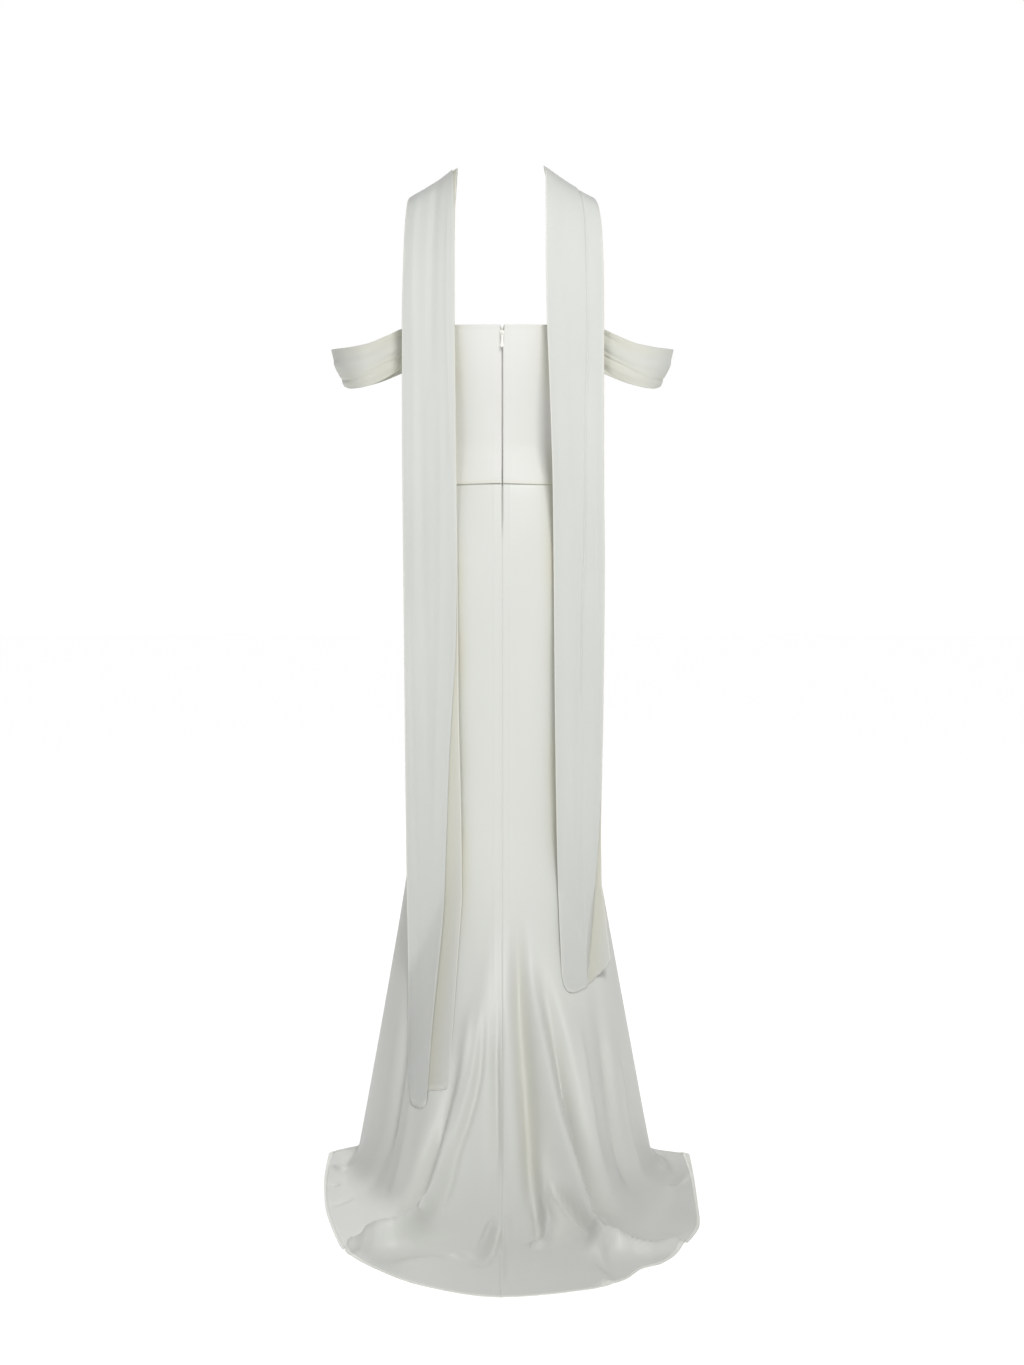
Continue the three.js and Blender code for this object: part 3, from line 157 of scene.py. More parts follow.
# Finer creases that only the cloth has, no two alike. The last number leans a crease: its
# side towards the wearer's left is softer where it is positive, and steeper where it is negative.
CREASES = [
    ("crest of the left ridge", 7, 8, 11, 0.15, 0.95,
     [(14.5, 0.32), (14.4, 0.39), (15.2, 0.46), (16.6, 0.53), (16.9, 0.6), (17.4, 0.695), (18, 0.815), (19.9, 0.88),
      (23.6, 0.924), (29.3, 0.95)], 0.3),
    ("groove right of the left crest", -7, 5, 7, 0.2, 0.8,
     [(8, 0.31), (8.2, 0.418), (10.4, 0.5), (13.2, 0.572), (14, 0.638), (15, 0.704), (15.6, 0.77)], 0),
    ("hollow outside the left ridge", -11, 9, 8, 0.3, 0.97,
     [(19.2, 0.515), (20.8, 0.57), (22.1, 0.627), (22.2, 0.686), (20.6, 0.75), (19, 0.81)], 0.4),
    ("left roll on the floor", 15, 10, 12, 0.2, 0.95,
     [(17.6, 0.75), (18, 0.815), (19.9, 0.88), (23.6, 0.926), (29.3, 0.955), (33, 0.985)], 0),
    ("line above the left roll", -11, 6, 7, 0.15, 0.8,
     [(19.2, 0.8), (21.6, 0.864), (26.6, 0.895), (33.1, 0.93), (34.6, 0.985)], 0),
    ("crease left of the seam", -4, 3.5, 4.5, 0.3, 0.8, [(2.6, 0.36), (2.2, 0.41), (1.6, 0.47), (0.8, 0.593)], 0),
    ("crease right of the seam", -3, 3, 4, 0.2, 0.8, [(-1.3, 0.64), (-1.3, 0.75), (-0.9, 0.96)], 0),
    ("trough right of the seam, its bottom", -5, 7, 9, 0.3, 0.9,
     [(-10.6, 0.306), (-10, 0.407), (-9.7, 0.5), (-9.5, 0.56), (-9.4, 0.636), (-9, 0.69), (-8.7, 0.73)], 0),
    ("crest of the right ridge", 8, 10, 13, 0.3, 0.95,
     [(-15.5, 0.22), (-16.5, 0.32), (-17, 0.418), (-17.5, 0.504), (-18.5, 0.57), (-19.4, 0.65), (-19.1, 0.748),
      (-18.5, 0.84)], 0.2),
    ("hollow outside the right ridge", -11, 9, 7, 0.4, 0.97,
     [(-23.6, 0.36), (-24.4, 0.44), (-25.3, 0.515), (-25.8, 0.578), (-25, 0.641), (-22.7, 0.72), (-20.4, 0.79)], 0),
    ("right roll on the floor", 14, 9, 12, 0.15, 0.9,
     [(-18, 0.79), (-18.2, 0.85), (-20.1, 0.885), (-24, 0.927), (-30.5, 0.957), (-38.9, 0.988)], 0),
    ("line above the right roll", -9, 7, 7, 0.15, 0.7,
     [(-20.2, 0.8), (-22.5, 0.865), (-27.5, 0.905), (-36, 0.945), (-44, 0.985)], 0),
    ("crest of the cone", 9, 4, 6, 0.15, 0.9,
     [(-10.5, 0.606), (-10.3, 0.653), (-10, 0.714), (-8.8, 0.772), (-7, 0.791), (-5.6, 0.768)], 0.3),
    ("hollow of the cone", -6, 4, 6, 0.2, 0.8, [(-8.9, 0.63), (-8.7, 0.656), (-8, 0.712), (-7.3, 0.745)], 0),
    ("sharp crease under the right ridge", -11, 6.5, 6, 0.2, 0.85,
     [(-12.6, 0.608), (-15.2, 0.662), (-16.6, 0.748), (-17.5, 0.847)], 0),
    ("crease down to the hem, right", -5, 6, 8, 0.2, 0.9, [(-17.4, 0.855), (-16.9, 0.913), (-16.5, 0.972)], 0),
    ("bump at the hem, right", 5, 7, 9, 0.3, 0.9, [(-15.6, 0.92), (-15.2, 0.96), (-14.8, 0.995)], 0),
    ("hooked crest left of the seam", 8, 5, 7, 0.25, 0.9,
     [(1.6, 0.658), (2.9, 0.717), (4.2, 0.8), (6, 0.842), (8.2, 0.825)], -0.4),
    ("hollow of the hook", -6, 5, 7, 0.2, 0.8, [(0.5, 0.671), (1.2, 0.748), (2.6, 0.837), (4.6, 0.885)], 0),
    ("small rise near the hem, left", 3.5, 10, 12, 0.3, 0.7, [(10, 0.86), (14, 0.9), (20, 0.96)], 0),
    ("long soft pull, right", 5, 9, 11, 0.3, 0.7, [(-61.9, 0.46), (-56.1, 0.562), (-53.1, 0.653), (-50.4, 0.73)], 0),
    ("hollow beside it", -6, 9, 11, 0.3, 0.7, [(-52, 0.4), (-50.4, 0.464), (-43.8, 0.615), (-37.3, 0.717)], 0),
    ("second pull, right", 3, 7, 9, 0.3, 0.7, [(-36, 0.36), (-33, 0.5), (-31, 0.66)], 0.3),
    ("long soft pull, left", -4, 11, 14, 0.3, 0.7, [(52, 0.36), (45, 0.55), (42, 0.66)], 0),
    ("second pull, left", 3.5, 9, 12, 0.3, 0.7, [(37, 0.46), (33, 0.6), (31, 0.72)], -0.3),
    ("left ear, first pucker", -3.5, 4, 7, 0.2, 0.6, [(69.2, 0.987), (66, 0.945), (62, 0.9)], 0),
    ("left ear, second pucker", -3.5, 4, 8, 0.2, 0.6, [(56, 0.98), (52, 0.91), (49, 0.84)], 0),
    ("left ear, rise", 4, 5, 9, 0.2, 0.7, [(79, 0.955), (74, 0.91), (68, 0.87)], 0),
    ("right ear, pucker", -3, 4, 7, 0.2, 0.6, [(-77, 0.99), (-66.5, 0.92), (-58.5, 0.855)], 0),
    ("right ear, rise", 3, 7, 10, 0.3, 0.7, [(-84, 0.84), (-74, 0.86), (-62, 0.8)], 0),
    ("front pull, left", -2.5, 12, 18, 0.4, 0.8, [(133, 0.3), (131, 0.6), (132, 0.95)], 0),
    ("front pull, right", -3, 14, 18, 0.4, 0.8, [(-143, 0.36), (-140, 0.62), (-139, 0.96)], 0),
    ("front pull, middle", 2.5, 16, 20, 0.5, 0.9, [(176, 0.4), (174, 0.7), (175, 1)], 0),
]
# Share of the tables' heights that the folds and the creases get.
FOLD_SHARE = 1.3
CREASE_SHARE = 1.15
# How far the cloth on the floor stands up between its folds.
FLOOR_LOFT = 6.0
FOLD_STEPS = 24
UP_AND_BACK = np.array([0.0, 0.8, 0.6])

# A scarf's run from its sewn end: run, inner x, y, z, outer x, y, z. Both start alike.
SCARF_ROOT = [
    (0, 76, 0, 1268, 122, 0, 1268), (27, 76, 0, 1292, 124, 0, 1292), (80, 76, -88, 1343, 128, -55, 1336),
    (150, 74, -66, 1410, 133, -36, 1388),
]
LEFT_SCARF = SCARF_ROOT + [
    (215, 70, -28, 1465, 138, -10, 1428), (262, 67, 14, 1496, 140, 16, 1448), (300, 68.5, 46, 1480, 142, 42, 1438),
    (360, 69.5, 79, 1434, 145, 66, 1400), (430, 70, 98, 1368, 147, 84, 1340), (520, 70, 107, 1282, 148.5, 96, 1262),
    (640, 69, 110, 1163, 148.5, 101, 1150), (780, 67.5, 112, 1024, 148, 104, 1015), (900, 66, 113, 905, 147, 106, 898),
    (1100, 65, 112, 705, 145.5, 107, 702), (1300, 61, 112, 505, 144, 108, 505), (1400, 60, 112, 405, 143, 108, 405),
]
RIGHT_SCARF = SCARF_ROOT + [
    (215, 69, -28, 1465, 138.8, -10, 1428), (262, 62, 14, 1496, 141.3, 16, 1446),
    (300, 64.5, 46, 1480, 144.3, 42, 1436), (360, 64.5, 79, 1434, 148.5, 66, 1400),
    (430, 64.5, 98, 1368, 150.5, 84, 1340), (520, 65.5, 107, 1282, 151, 96, 1262),
    (640, 70, 110, 1163, 151, 101, 1150), (780, 74.5, 112, 1024, 151.5, 104, 1015),
    (900, 76, 113, 905, 152.5, 106, 898), (1100, 78, 112, 705, 151, 107, 702),
    (1300, 81, 112, 505, 148, 108, 505), (1380, 83, 112, 425, 149, 108, 425),
]
# Lower end of each layer: share across, x, z.
LEFT_FRONT_TIP = [
    (0, 139, 158), (0.06, 135.5, 137), (0.14, 131, 126), (0.3, 121, 124), (0.42, 113, 127), (0.5, 108.5, 135),
]
LEFT_BACK_TIP = [(0.3, 120, 146), (0.5, 108, 146), (0.58, 104, 148), (0.94, 80, 152), (1, 77, 159)]
RIGHT_FRONT_TIP = [(0.5, 127, 274), (0.74, 108, 270), (0.87, 98, 273), (0.96, 91, 284), (1, 88, 298)]
RIGHT_BACK_TIP = [
    (0, 163, 309), (0.1, 157, 301), (0.25, 146, 289), (0.4, 134, 279), (0.5, 127, 277), (0.7, 112, 277),
]
# Where the front layer of a scarf is folded back, as a share from its outer edge, by run.
LEFT_SCARF_PLEAT = [
    (0, 0.4), (27, 0.4), (200, 0.8), (400, 0.97), (860, 0.98), (1010, 0.95), (1110, 0.87), (1200, 0.79), (1290, 0.73),
    (1400, 0.67),
]
RIGHT_SCARF_PLEAT = [
    (0, 0.15), (27, 0.15), (200, 0.06), (400, 0.02), (1200, 0.02), (1290, 0.05), (1380, 0.16),
]
# Soft hanging folds of a scarf: height, width as a share, sharpness of its step, then (run, share) along
# it. A fold with a step is a tuck: the cloth on its outer side lies lower.
LEFT_SCARF_FOLDS = [
    (-1.7, 0.09, 0, [(225, 0.62), (300, 0.6), (420, 0.57), (560, 0.55)]),
    (1.2, 0.08, 0, [(240, 0.2), (420, 0.18), (640, 0.22), (900, 0.2)]),
    (-1.0, 0.08, 0, [(600, 0.36), (760, 0.35), (960, 0.38), (1180, 0.42)]),
    (0.9, 0.07, 0, [(620, 0.72), (840, 0.7), (1080, 0.62), (1300, 0.5)]),
    (-0.7, 0.05, 0, [(900, 0.1), (1180, 0.14), (1380, 0.2)]),
    (0.6, 0.04, 0, [(300, 0.86), (480, 0.84), (700, 0.88)]),
]
RIGHT_SCARF_FOLDS = [
    (1.5, 0.05, 0.012,
     [(150, 0.42), (262, 0.36), (330, 0.31), (520, 0.3), (700, 0.37), (860, 0.4), (960, 0.46), (1060, 0.48)]),
    (-0.9, 0.08, 0, [(280, 0.66), (480, 0.7), (760, 0.72)]),
    (0.9, 0.09, 0, [(520, 0.86), (860, 0.82), (1180, 0.8)]),
    (-1.0, 0.07, 0, [(880, 0.62), (1060, 0.6), (1280, 0.64)]),
    (0.8, 0.06, 0, [(1080, 0.34), (1240, 0.4), (1370, 0.44)]),
    (-0.6, 0.04, 0, [(420, 0.12), (760, 0.14), (1080, 0.1)]),
]

# Edges of a band round the arm: share, upper x, y, z, lower x, y, z.
BAND_EDGES = [
    (0, 127, 53, 1255, 127, 53, 1209), (0.08, 147, 65, 1253, 147, 66, 1196),
    (0.17, 170, 72, 1243, 166, 72, 1183), (0.29, 204, 68, 1230, 199, 68, 1168),
    (0.4, 237, 46, 1225, 226, 46, 1164), (0.5, 259, 0, 1224, 238, 2, 1168),
    (0.6, 240, -44, 1228, 226, -42, 1167), (0.72, 204, -68, 1236, 196, -66, 1174),
    (0.85, 160, -78, 1248, 156, -76, 1190), (1, 121, -66, 1256, 121, -66, 1206),
]
# Gathers of a band: height where it is sewn on and out at the arm, width as a share of its depth, then
# (share along, share down).
BAND_GATHERS = [
    (-3.6, -0.2, 0.06, [(0, 0.14), (0.15, 0.17), (0.3, 0.22), (0.5, 0.2), (0.8, 0.14), (1, 0.12)]),
    (2.4, 1.4, 0.15, [(0, 0.34), (0.3, 0.4), (0.52, 0.44), (0.85, 0.38), (1, 0.36)]),
    (-2.6, 0.2, 0.05, [(0, 0.52), (0.2, 0.55), (0.45, 0.6), (0.7, 0.56), (1, 0.5)]),
    (-2.8, -1.3, 0.035, [(0, 0.72), (0.22, 0.65), (0.38, 0.78), (0.5, 0.8), (0.72, 0.74), (1, 0.66)]),
    (2.2, 1.2, 0.08, [(0, 0.86), (0.3, 0.82), (0.5, 0.93), (0.8, 0.88), (1, 0.84)]),
    (-0.8, -0.6, 0.05, [(0.02, 0.28), (0.3, 0.26), (0.6, 0.3), (0.98, 0.28)]),
]

# Flat cut of each piece: width, length and area, in metres and square metres.
CUTS = {
    "skirt_front_cloth": (0.6, 1.1, 0.478), "bodice_front_cloth": (0.48, 0.28, 0.102),
    "skirt_back_left_cloth": (0.6, 1.5, 0.405), "skirt_back_right_cloth": (0.6, 1.5, 0.43),
    "bodice_back_left_cloth": (0.2, 0.24, 0.043), "bodice_back_right_cloth": (0.2, 0.24, 0.043),
    "scarf_left_cloth": (0.12, 1.68, 0.198), "scarf_right_cloth": (0.12, 1.53, 0.158),
    "shoulder_band_left_cloth": (0.4, 0.075, 0.023), "shoulder_band_right_cloth": (0.4, 0.075, 0.023),
    "zip_tape_left_cloth": (0.011, 0.31, 0.0034), "zip_tape_right_cloth": (0.011, 0.31, 0.0034),
}


# ---- Small helpers ----

def metres(points):
    """Points in millimetres from the floor, as metres from the waist."""
    moved = np.array(points, float)
    moved[..., 2] -= WAIST_HEIGHT
    return moved / 1000


def smooth_table(rows):
    """A smooth curve through a table, without overshoot; its first column is the place along it."""
    table = np.array(rows, float)
    places, values = table[:, 0], table[:, 1:]
    widths = np.diff(places)
    steps = np.diff(values, axis=0) / widths[:, None]
    slopes = np.empty_like(values)
    slopes[0], slopes[-1] = steps[0], steps[-1]
    product, total = steps[:-1] * steps[1:], steps[:-1] + steps[1:]
    slopes[1:-1] = np.where(product > 0, 2 * product / np.where(total == 0, 1, total), 0)

    def at(place):
        place = np.clip(np.asarray(place, float), places[0], places[-1])
        i = np.clip(np.searchsorted(places, place) - 1, 0, len(places) - 2)
        width = widths[i][..., None]
        t = (place - places[i])[..., None] / width
        rise = values[i + 1] - values[i]
        bend_in = (slopes[i] * width - rise) * t * (1 - t) ** 2
        bend_out = (slopes[i + 1] * width - rise) * t * t * (t - 1)
        return values[i] + rise * t + bend_in + bend_out

    return at


def columns_of(values):
    """The last axis of an array of points first, to take x, y and z apart."""
    return np.moveaxis(values, -1, 0)


def from_back(angles):
    """Angles counted both ways from the centre of the back, from -180 to 180."""
    return np.where(angles > 180, angles - 360, angles)


def smoothstep(x, low, high):
    t = np.clip((x - low) / (high - low), 0, 1)
    return t * t * (3 - 2 * t)


def bell(x, width):
    return np.exp(-((x / width) ** 2))


def mix(a, b, t):
    return a + (b - a) * t


def grid_normals(grid):
    """Outward unit normals of a grid of points, rows downwards and columns to the right from outside."""
    down, right = np.gradient(grid, axis=0), np.gradient(grid, axis=1)
    normal = np.cross(down, right)
    return normal / np.maximum(np.linalg.norm(normal, axis=-1, keepdims=True), 1e-9)


def run_lengths(grid, axis):
    """How far each point lies along its row or column, in millimetres."""
    steps = np.linalg.norm(np.diff(grid, axis=axis), axis=-1)
    first = np.zeros_like(np.take(steps, [0], axis=axis))
    return np.cumsum(np.concatenate([first, steps], axis=axis), axis=axis)


# ---- Body and skirt surfaces ----

body_section = smooth_table(BODY_SECTIONS)
train_cut = smooth_table(TRAIN_CUT)
neckline = smooth_table(NECKLINE)


def section_point(height, angle, outset=0.0):
    height, angle = np.broadcast_arrays(np.asarray(height, float), np.asarray(angle, float))
    half_width, back, front = columns_of(body_section(height))
    turn = np.radians(angle)
    depth = np.where(np.cos(turn) > 0, back, front)
    fullness = 1 + SECTION_FULLNESS * np.sin(2 * turn) ** 2
    x = (half_width + outset) * np.sin(turn) * fullness
    y = (depth + outset) * np.cos(turn) * fullness
    return np.stack([x, y, height], -1)


def bodice_point(height, angle, outset=BODICE_OUTSET):
    across = (np.abs(angle) - CUP["angle"]) / CUP["spread"]
    up = (height - CUP["height"]) / CUP["reach"]
    return section_point(height, angle, outset + CUP["depth"] * np.exp(-across ** 2 - up ** 2))


def bodice_at_x(x, height, outset, back):
    """The place on the bodice at an x and a height, on its back or its front."""
    side = np.sign(x)
    low = np.zeros_like(x) if back else 180 * side
    high = 90 * side
    for _ in range(30):
        middle = (low + high) / 2
        inside = np.abs(bodice_point(height, middle, outset)[..., 0]) < np.abs(x)
        low, high = np.where(inside, middle, low), np.where(inside, high, middle)
    return bodice_point(height, low, outset)


def flare_share(fall, start, softness):
    """How far out a falling line has gone: nearly none before the flare, then a straight slope."""
    def bent(t):
        return np.hypot(t - start, softness) + t - start
    return (bent(fall) - bent(0)) / (bent(1) - bent(0))


def break_share(angle):
    break_x, break_y, hem_x, hem_y = columns_of(train_cut(angle))[:4]
    knee = section_point(KNEE, angle)
    fall = np.sqrt((break_x - knee[..., 0]) ** 2 + (break_y - knee[..., 1]) ** 2 + KNEE ** 2)
    return fall / (fall + np.hypot(hem_x - break_x, hem_y - break_y))


def skirt_flare(angle, drop):
    """The skirt below the knee without its folds; the break at the floor is rounded."""
    angle, drop = np.broadcast_arrays(np.asarray(angle, float), np.asarray(drop, float))
    break_x, break_y, hem_x, hem_y, start, softness = columns_of(train_cut(angle))
    knee = section_point(KNEE, angle)
    at_break = break_share(angle)
    on_floor = np.hypot(hem_x - break_x, hem_y - break_y)
    share = mix(TRAIN_BREAK_ROUNDING, BREAK_ROUNDING, smoothstep(np.abs(angle), *TRAIN_SIDES))
    reach = np.minimum(share * np.clip(on_floor / ROUNDING_FULL_RUN, 0.25, 1), 0.95 * (1 - at_break))
    turned = np.clip((drop - at_break) / (2 * reach) + 0.5, 0, 1)
    past = 2 * reach * (turned ** 3 - turned ** 4 / 2) + np.maximum(drop - at_break - reach, 0)
    fall = (drop - past) / at_break
    run = past / (1 - at_break)
    out = flare_share(fall, start, softness)
    x = mix(mix(knee[..., 0], break_x, out), hem_x, run)
    y = mix(mix(knee[..., 1], break_y, out), hem_y, run)
    return np.stack([x, y, mix(KNEE, SKIRT_WALL, fall)], -1)


def fold_line(line):
    shares = np.linspace(0, 1, len(line))
    place = smooth_table([(share, *pair) for share, pair in zip(shares, line)])
    angle, drop = columns_of(place(np.linspace(0, 1, FOLD_STEPS + 1)))
    return skirt_flare(angle, drop)


def fold_height(points, folds):
    """Height of all folds together at points of the skirt, by their distance from each fold's line."""
    total = np.zeros(points.shape[:-1])
    for _, height, start_width, end_width, full_from, full_to, line, *lean in folds:
        path = fold_line(line)
        best = np.full(points.shape[:-1], 1e9)
        share, offset = np.zeros(points.shape[:-1]), np.zeros(points.shape[:-1])
        for i, (a, b) in enumerate(zip(path[:-1], path[1:])):
            along = b - a
            t = np.clip((points - a) @ along / (along @ along), 0, 1)
            apart = points - (a + t[..., None] * along)
            distance = np.linalg.norm(apart, axis=-1)
            nearer = distance < best
            offset = np.where(nearer, -np.cross(along, apart) @ UP_AND_BACK / np.linalg.norm(along), offset)
            best = np.where(nearer, distance, best)
            share = np.where(nearer, (i + t) / FOLD_STEPS, share)
        fades = 1 - smoothstep(share, full_to, 1) if full_to < 1 else 1
        width = mix(start_width, end_width, share)
        if lean:
            width = width * (1 + lean[0] * np.tanh(offset / width))
        total += height * smoothstep(share, 0, full_from) * fades * bell(best, width)
    return total


def skirt_grid(angles, downs):
    """Outside of the skirt. downs run 0 to 1 from waist seam to knee, to 2 at the floor, to 3 at the hem."""
    angle, down = np.meshgrid(from_back(angles), downs)
    at_break = break_share(angle)
    drop = np.where(down <= 2, at_break * (down - 1), mix(at_break, 1, down - 2))
    drop = np.clip(drop, 0, 1)
    height = mix(SKIRT_TOP, KNEE, np.minimum(down, 1))
    upper = section_point(height, angle, 1.1 * smoothstep(height, 985, 1016))
    grid = np.where((down <= 1)[..., None], upper, skirt_flare(angle, drop))
    normals = grid_normals(grid)
    low = downs > 1
    heights = np.zeros(grid.shape[:2])
    heights[low] = FOLD_SHARE * fold_height(grid[low], FOLDS) + CREASE_SHARE * fold_height(grid[low], CREASES)
    break_x, break_y, hem_x, hem_y = columns_of(train_cut(angle))[:4]
    lying = np.clip(np.hypot(hem_x - break_x, hem_y - break_y) / LOFT_FULL_RUN, 0, 1)
    heights += FLOOR_LOFT * lying * smoothstep(down, 1.8, 2.35) * (1 - smoothstep(down, 2.5, 3))
    return grid + normals * heights[..., None]


def back_gap(height):
    """Gap at the centre of the back: a narrow slit along the zip, parted in a V above the slider."""
    parted = np.clip((height - SLIDER_TOP) / (BACK_NECKLINE - SLIDER_TOP), 0, 1)
    return mix(SEWN_GAP, mix(ZIP_SLIT, ZIP_PARTED, parted), smoothstep(height, ZIP_END - 6, ZIP_END + 3))


def seam_rows(heights):
    return np.full_like(heights, SEWN_GAP)


def seam_depth(heights):
    """How deep a seam is pressed: deeper beside the zip, whose slit lies in shadow."""
    return mix(SEAM_DEPTH, ZIP_SLIT_DEPTH, smoothstep(heights, ZIP_END - 12, ZIP_END + 6))[:, None]


def press_sides(grid, gaps):
    """Presses in the left and the right edge of a panel, each with its gap over the heights."""
    for edge, gap in zip((0, -1), gaps):
        heights = grid[:, edge, 2]
        grid = press_seam(grid, edge, gap(heights), seam_depth(heights))
    return grid


def press_seam(grid, edge, gap, depth):
    """Turns a side edge of a panel in, as a pressed seam does, and leaves half the gap beside it.

    edge is 0 for the left side and -1 for the right one; gap is an array over the rows.
    """
    normals = grid_normals(grid)
    across = run_lengths(grid if edge == 0 else grid[:, ::-1], 1)
    across = across if edge == 0 else across[:, ::-1]
    inner = 1 if edge == 0 else -2
    inward = grid[:, inner] - grid[:, edge]
    inward /= np.linalg.norm(inward, axis=-1, keepdims=True)
    away = (gap / 2)[:, None] * np.exp(-across / 6)
    moved = grid + inward[:, None, :] * away[..., None]
    pressed = depth * bell(across, PRESSED_WIDTH) - 0.3 * bell(across - 11.5, 1.6)
    return moved - normals * pressed[..., None]


# ---- Meshes from grids of cloth ----

def cloth_object(name, grid, material, thickness, warmth=0.0, doubled=0.0):
    """A sheet of cloth through a grid of points in millimetres, with its thickness towards the inside.

    The last two arguments say, from 0 to 1 at each point, how much painted warm shade lies on the cloth
    and where it is turned double, as at a hem. The materials read both.
    """
    rows, columns = grid.shape[:2]
    across, along = run_lengths(grid, 1) / 1000, run_lengths(grid, 0) / 1000
    places = metres(grid)
    bm = bmesh.new()
    bmesh.ops.create_grid(bm, x_segments=columns - 1, y_segments=rows - 1, size=0.5, calc_uvs=True)
    layer = bm.loops.layers.uv.verify()
    marks = {}
    for mark, values in (("warmth", warmth), ("doubled", doubled)):
        marks[bm.verts.layers.float.new(mark)] = np.broadcast_to(values, (rows, columns))
    cells = {}
    for vert in bm.verts:
        cell = (round((0.5 - vert.co.y) * (rows - 1)), round((vert.co.x + 0.5) * (columns - 1)))
        cells[vert] = cell
    for vert, cell in cells.items():
        vert.co = places[cell]
        for mark, values in marks.items():
            vert[mark] = values[cell]
    for face in bm.faces:
        face.smooth = True
        for loop in face.loops:
            cell = cells[loop.vert]
            loop[layer].uv = (across[cell], -along[cell])
    made = object_from(bm, name, material)
    wall = made.modifiers.new("Cloth wall", "SOLIDIFY")
    wall.thickness = thickness / 1000
    wall.offset = -1
    return made


def object_from(bm, name, material):
    mesh = bpy.data.meshes.new(name)
    bm.to_mesh(mesh)
    bm.free()
    mesh.materials.append(material)
    made = bpy.data.objects.new(name, mesh)
    bpy.context.scene.collection.objects.link(made)
    return made


def dress_node(piece, node):
    """Puts a cloth piece in the place of its solid, which it hides; the piece's cut is looked up but not used."""
    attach(piece, "gown")
    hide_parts(node)
    width, length, area = CUTS[piece.name]


def places_along(path, pitch, short_of_end=0.0):
    """Places at a pitch along a path in millimetres: the step each lies on, and its point in metres."""
    along = np.concatenate([[0], np.cumsum(np.linalg.norm(np.diff(path, axis=0), axis=1))])
    for centre in np.arange(pitch, along[-1] - short_of_end, pitch):
        i = min(max(int(np.searchsorted(along, centre)) - 1, 0), len(path) - 2)
        t = (centre - along[i]) / max(along[i + 1] - along[i], 1e-6)
        yield i, Vector(metres(mix(path[i], path[i + 1], t)))


def add_bead(bm, matrix, length, radius):
    """A short length of thread, with round ends, as a few faces; sizes in millimetres."""
    size = Matrix.Diagonal((length / 2000, radius / 1000, radius / 1000, 1))
    bmesh.ops.create_icosphere(bm, subdivisions=1, radius=1, matrix=matrix @ size)


def sew_along(bm, grid, inset, pitch):
    """Stitches in a row at a distance from a grid's first edge."""
    along = run_lengths(grid, 0)
    normals = grid_normals(grid)
    normals = normals if np.mean(np.sum(normals * (grid - grid.mean((0, 1))), -1)) > 0 else -normals
    path, outs = [], []
    for column in range(grid.shape[1]):
        row = int(np.searchsorted(along[:, column], inset))
        t = (inset - along[row - 1, column]) / (along[row, column] - along[row - 1, column])
        path.append(mix(grid[row - 1, column], grid[row, column], t))
        outs.append(normals[row, column])
    path = np.array(path) + np.array(outs) * STITCH["lift"]
    for i, place in places_along(path, pitch, pitch / 2):
        forward = Vector(path[i + 1] - path[i]).normalized()
        side = forward.cross(Vector(outs[i])).normalized()
        turn = Matrix((forward, side, side.cross(forward))).transposed().to_4x4()
        add_bead(bm, Matrix.Translation(place) @ turn, pitch * STITCH["share"], STITCH["radius"])


# ---- Materials ----

# Colour of cloth turned double, as at a rolled hem.
DOUBLED_CLOTH = "#efefe8"


def linear(colour, alpha=1.0):
    """An sRGB hex colour as the linear values that shaders take."""
    parts = [int(colour[i:i + 2], 16) / 255 for i in (1, 3, 5)]
    return [c / 12.92 if c <= 0.04045 else ((c + 0.055) / 1.055) ** 2.4 for c in parts] + [alpha]


def add_node(tree, kind, settings, links=()):
    """Adds a shader node; settings are its own values or its inputs', and links pairs of input and source."""
    made = tree.nodes.new(kind)
    for key, value in settings.items():
        if isinstance(value, str) and value[0] == "#":
            value = linear(value)
        if isinstance(key, str) and hasattr(made, key):
            setattr(made, key, value)
        else:
            made.inputs[key].default_value = value
    for key, source in links:
        tree.links.new(source, made.inputs[key])
    return made


def new_material(name):
    """An empty material: its node tree and the coordinates that its textures use."""
    material = bpy.data.materials.new(name)
    material.use_nodes = True
    material.node_tree.nodes.clear()
    return material, material.node_tree, add_node(material.node_tree, "ShaderNodeTexCoord", {})


def two_tones(tree, factor, first, second):
    """A colour between two by a factor, where the first is a hex value or another node's colour."""
    settings, links = {"data_type": "RGBA", 7: second}, [(0, factor)]
    if isinstance(first, str):
        settings[6] = first
    else:
        links.append((6, first))
    return add_node(tree, "ShaderNodeMix", settings, links).outputs[2]


def bumped(tree, height, strength, distance, links=()):
    """Normals raised by a texture's height, over those of the links where they are given."""
    bump = add_node(tree, "ShaderNodeBump", {"Strength": strength, "Distance": distance}, [("Height", height), *links])
    return bump.outputs["Normal"]


def surfaced(material, settings, links):
    """Gives a material its principled surface and hands it back."""
    tree = material.node_tree
    surface = add_node(tree, "ShaderNodeBsdfPrincipled", settings, links)
    add_node(tree, "ShaderNodeOutputMaterial", {}, [("Surface", surface.outputs["BSDF"])])
    return material


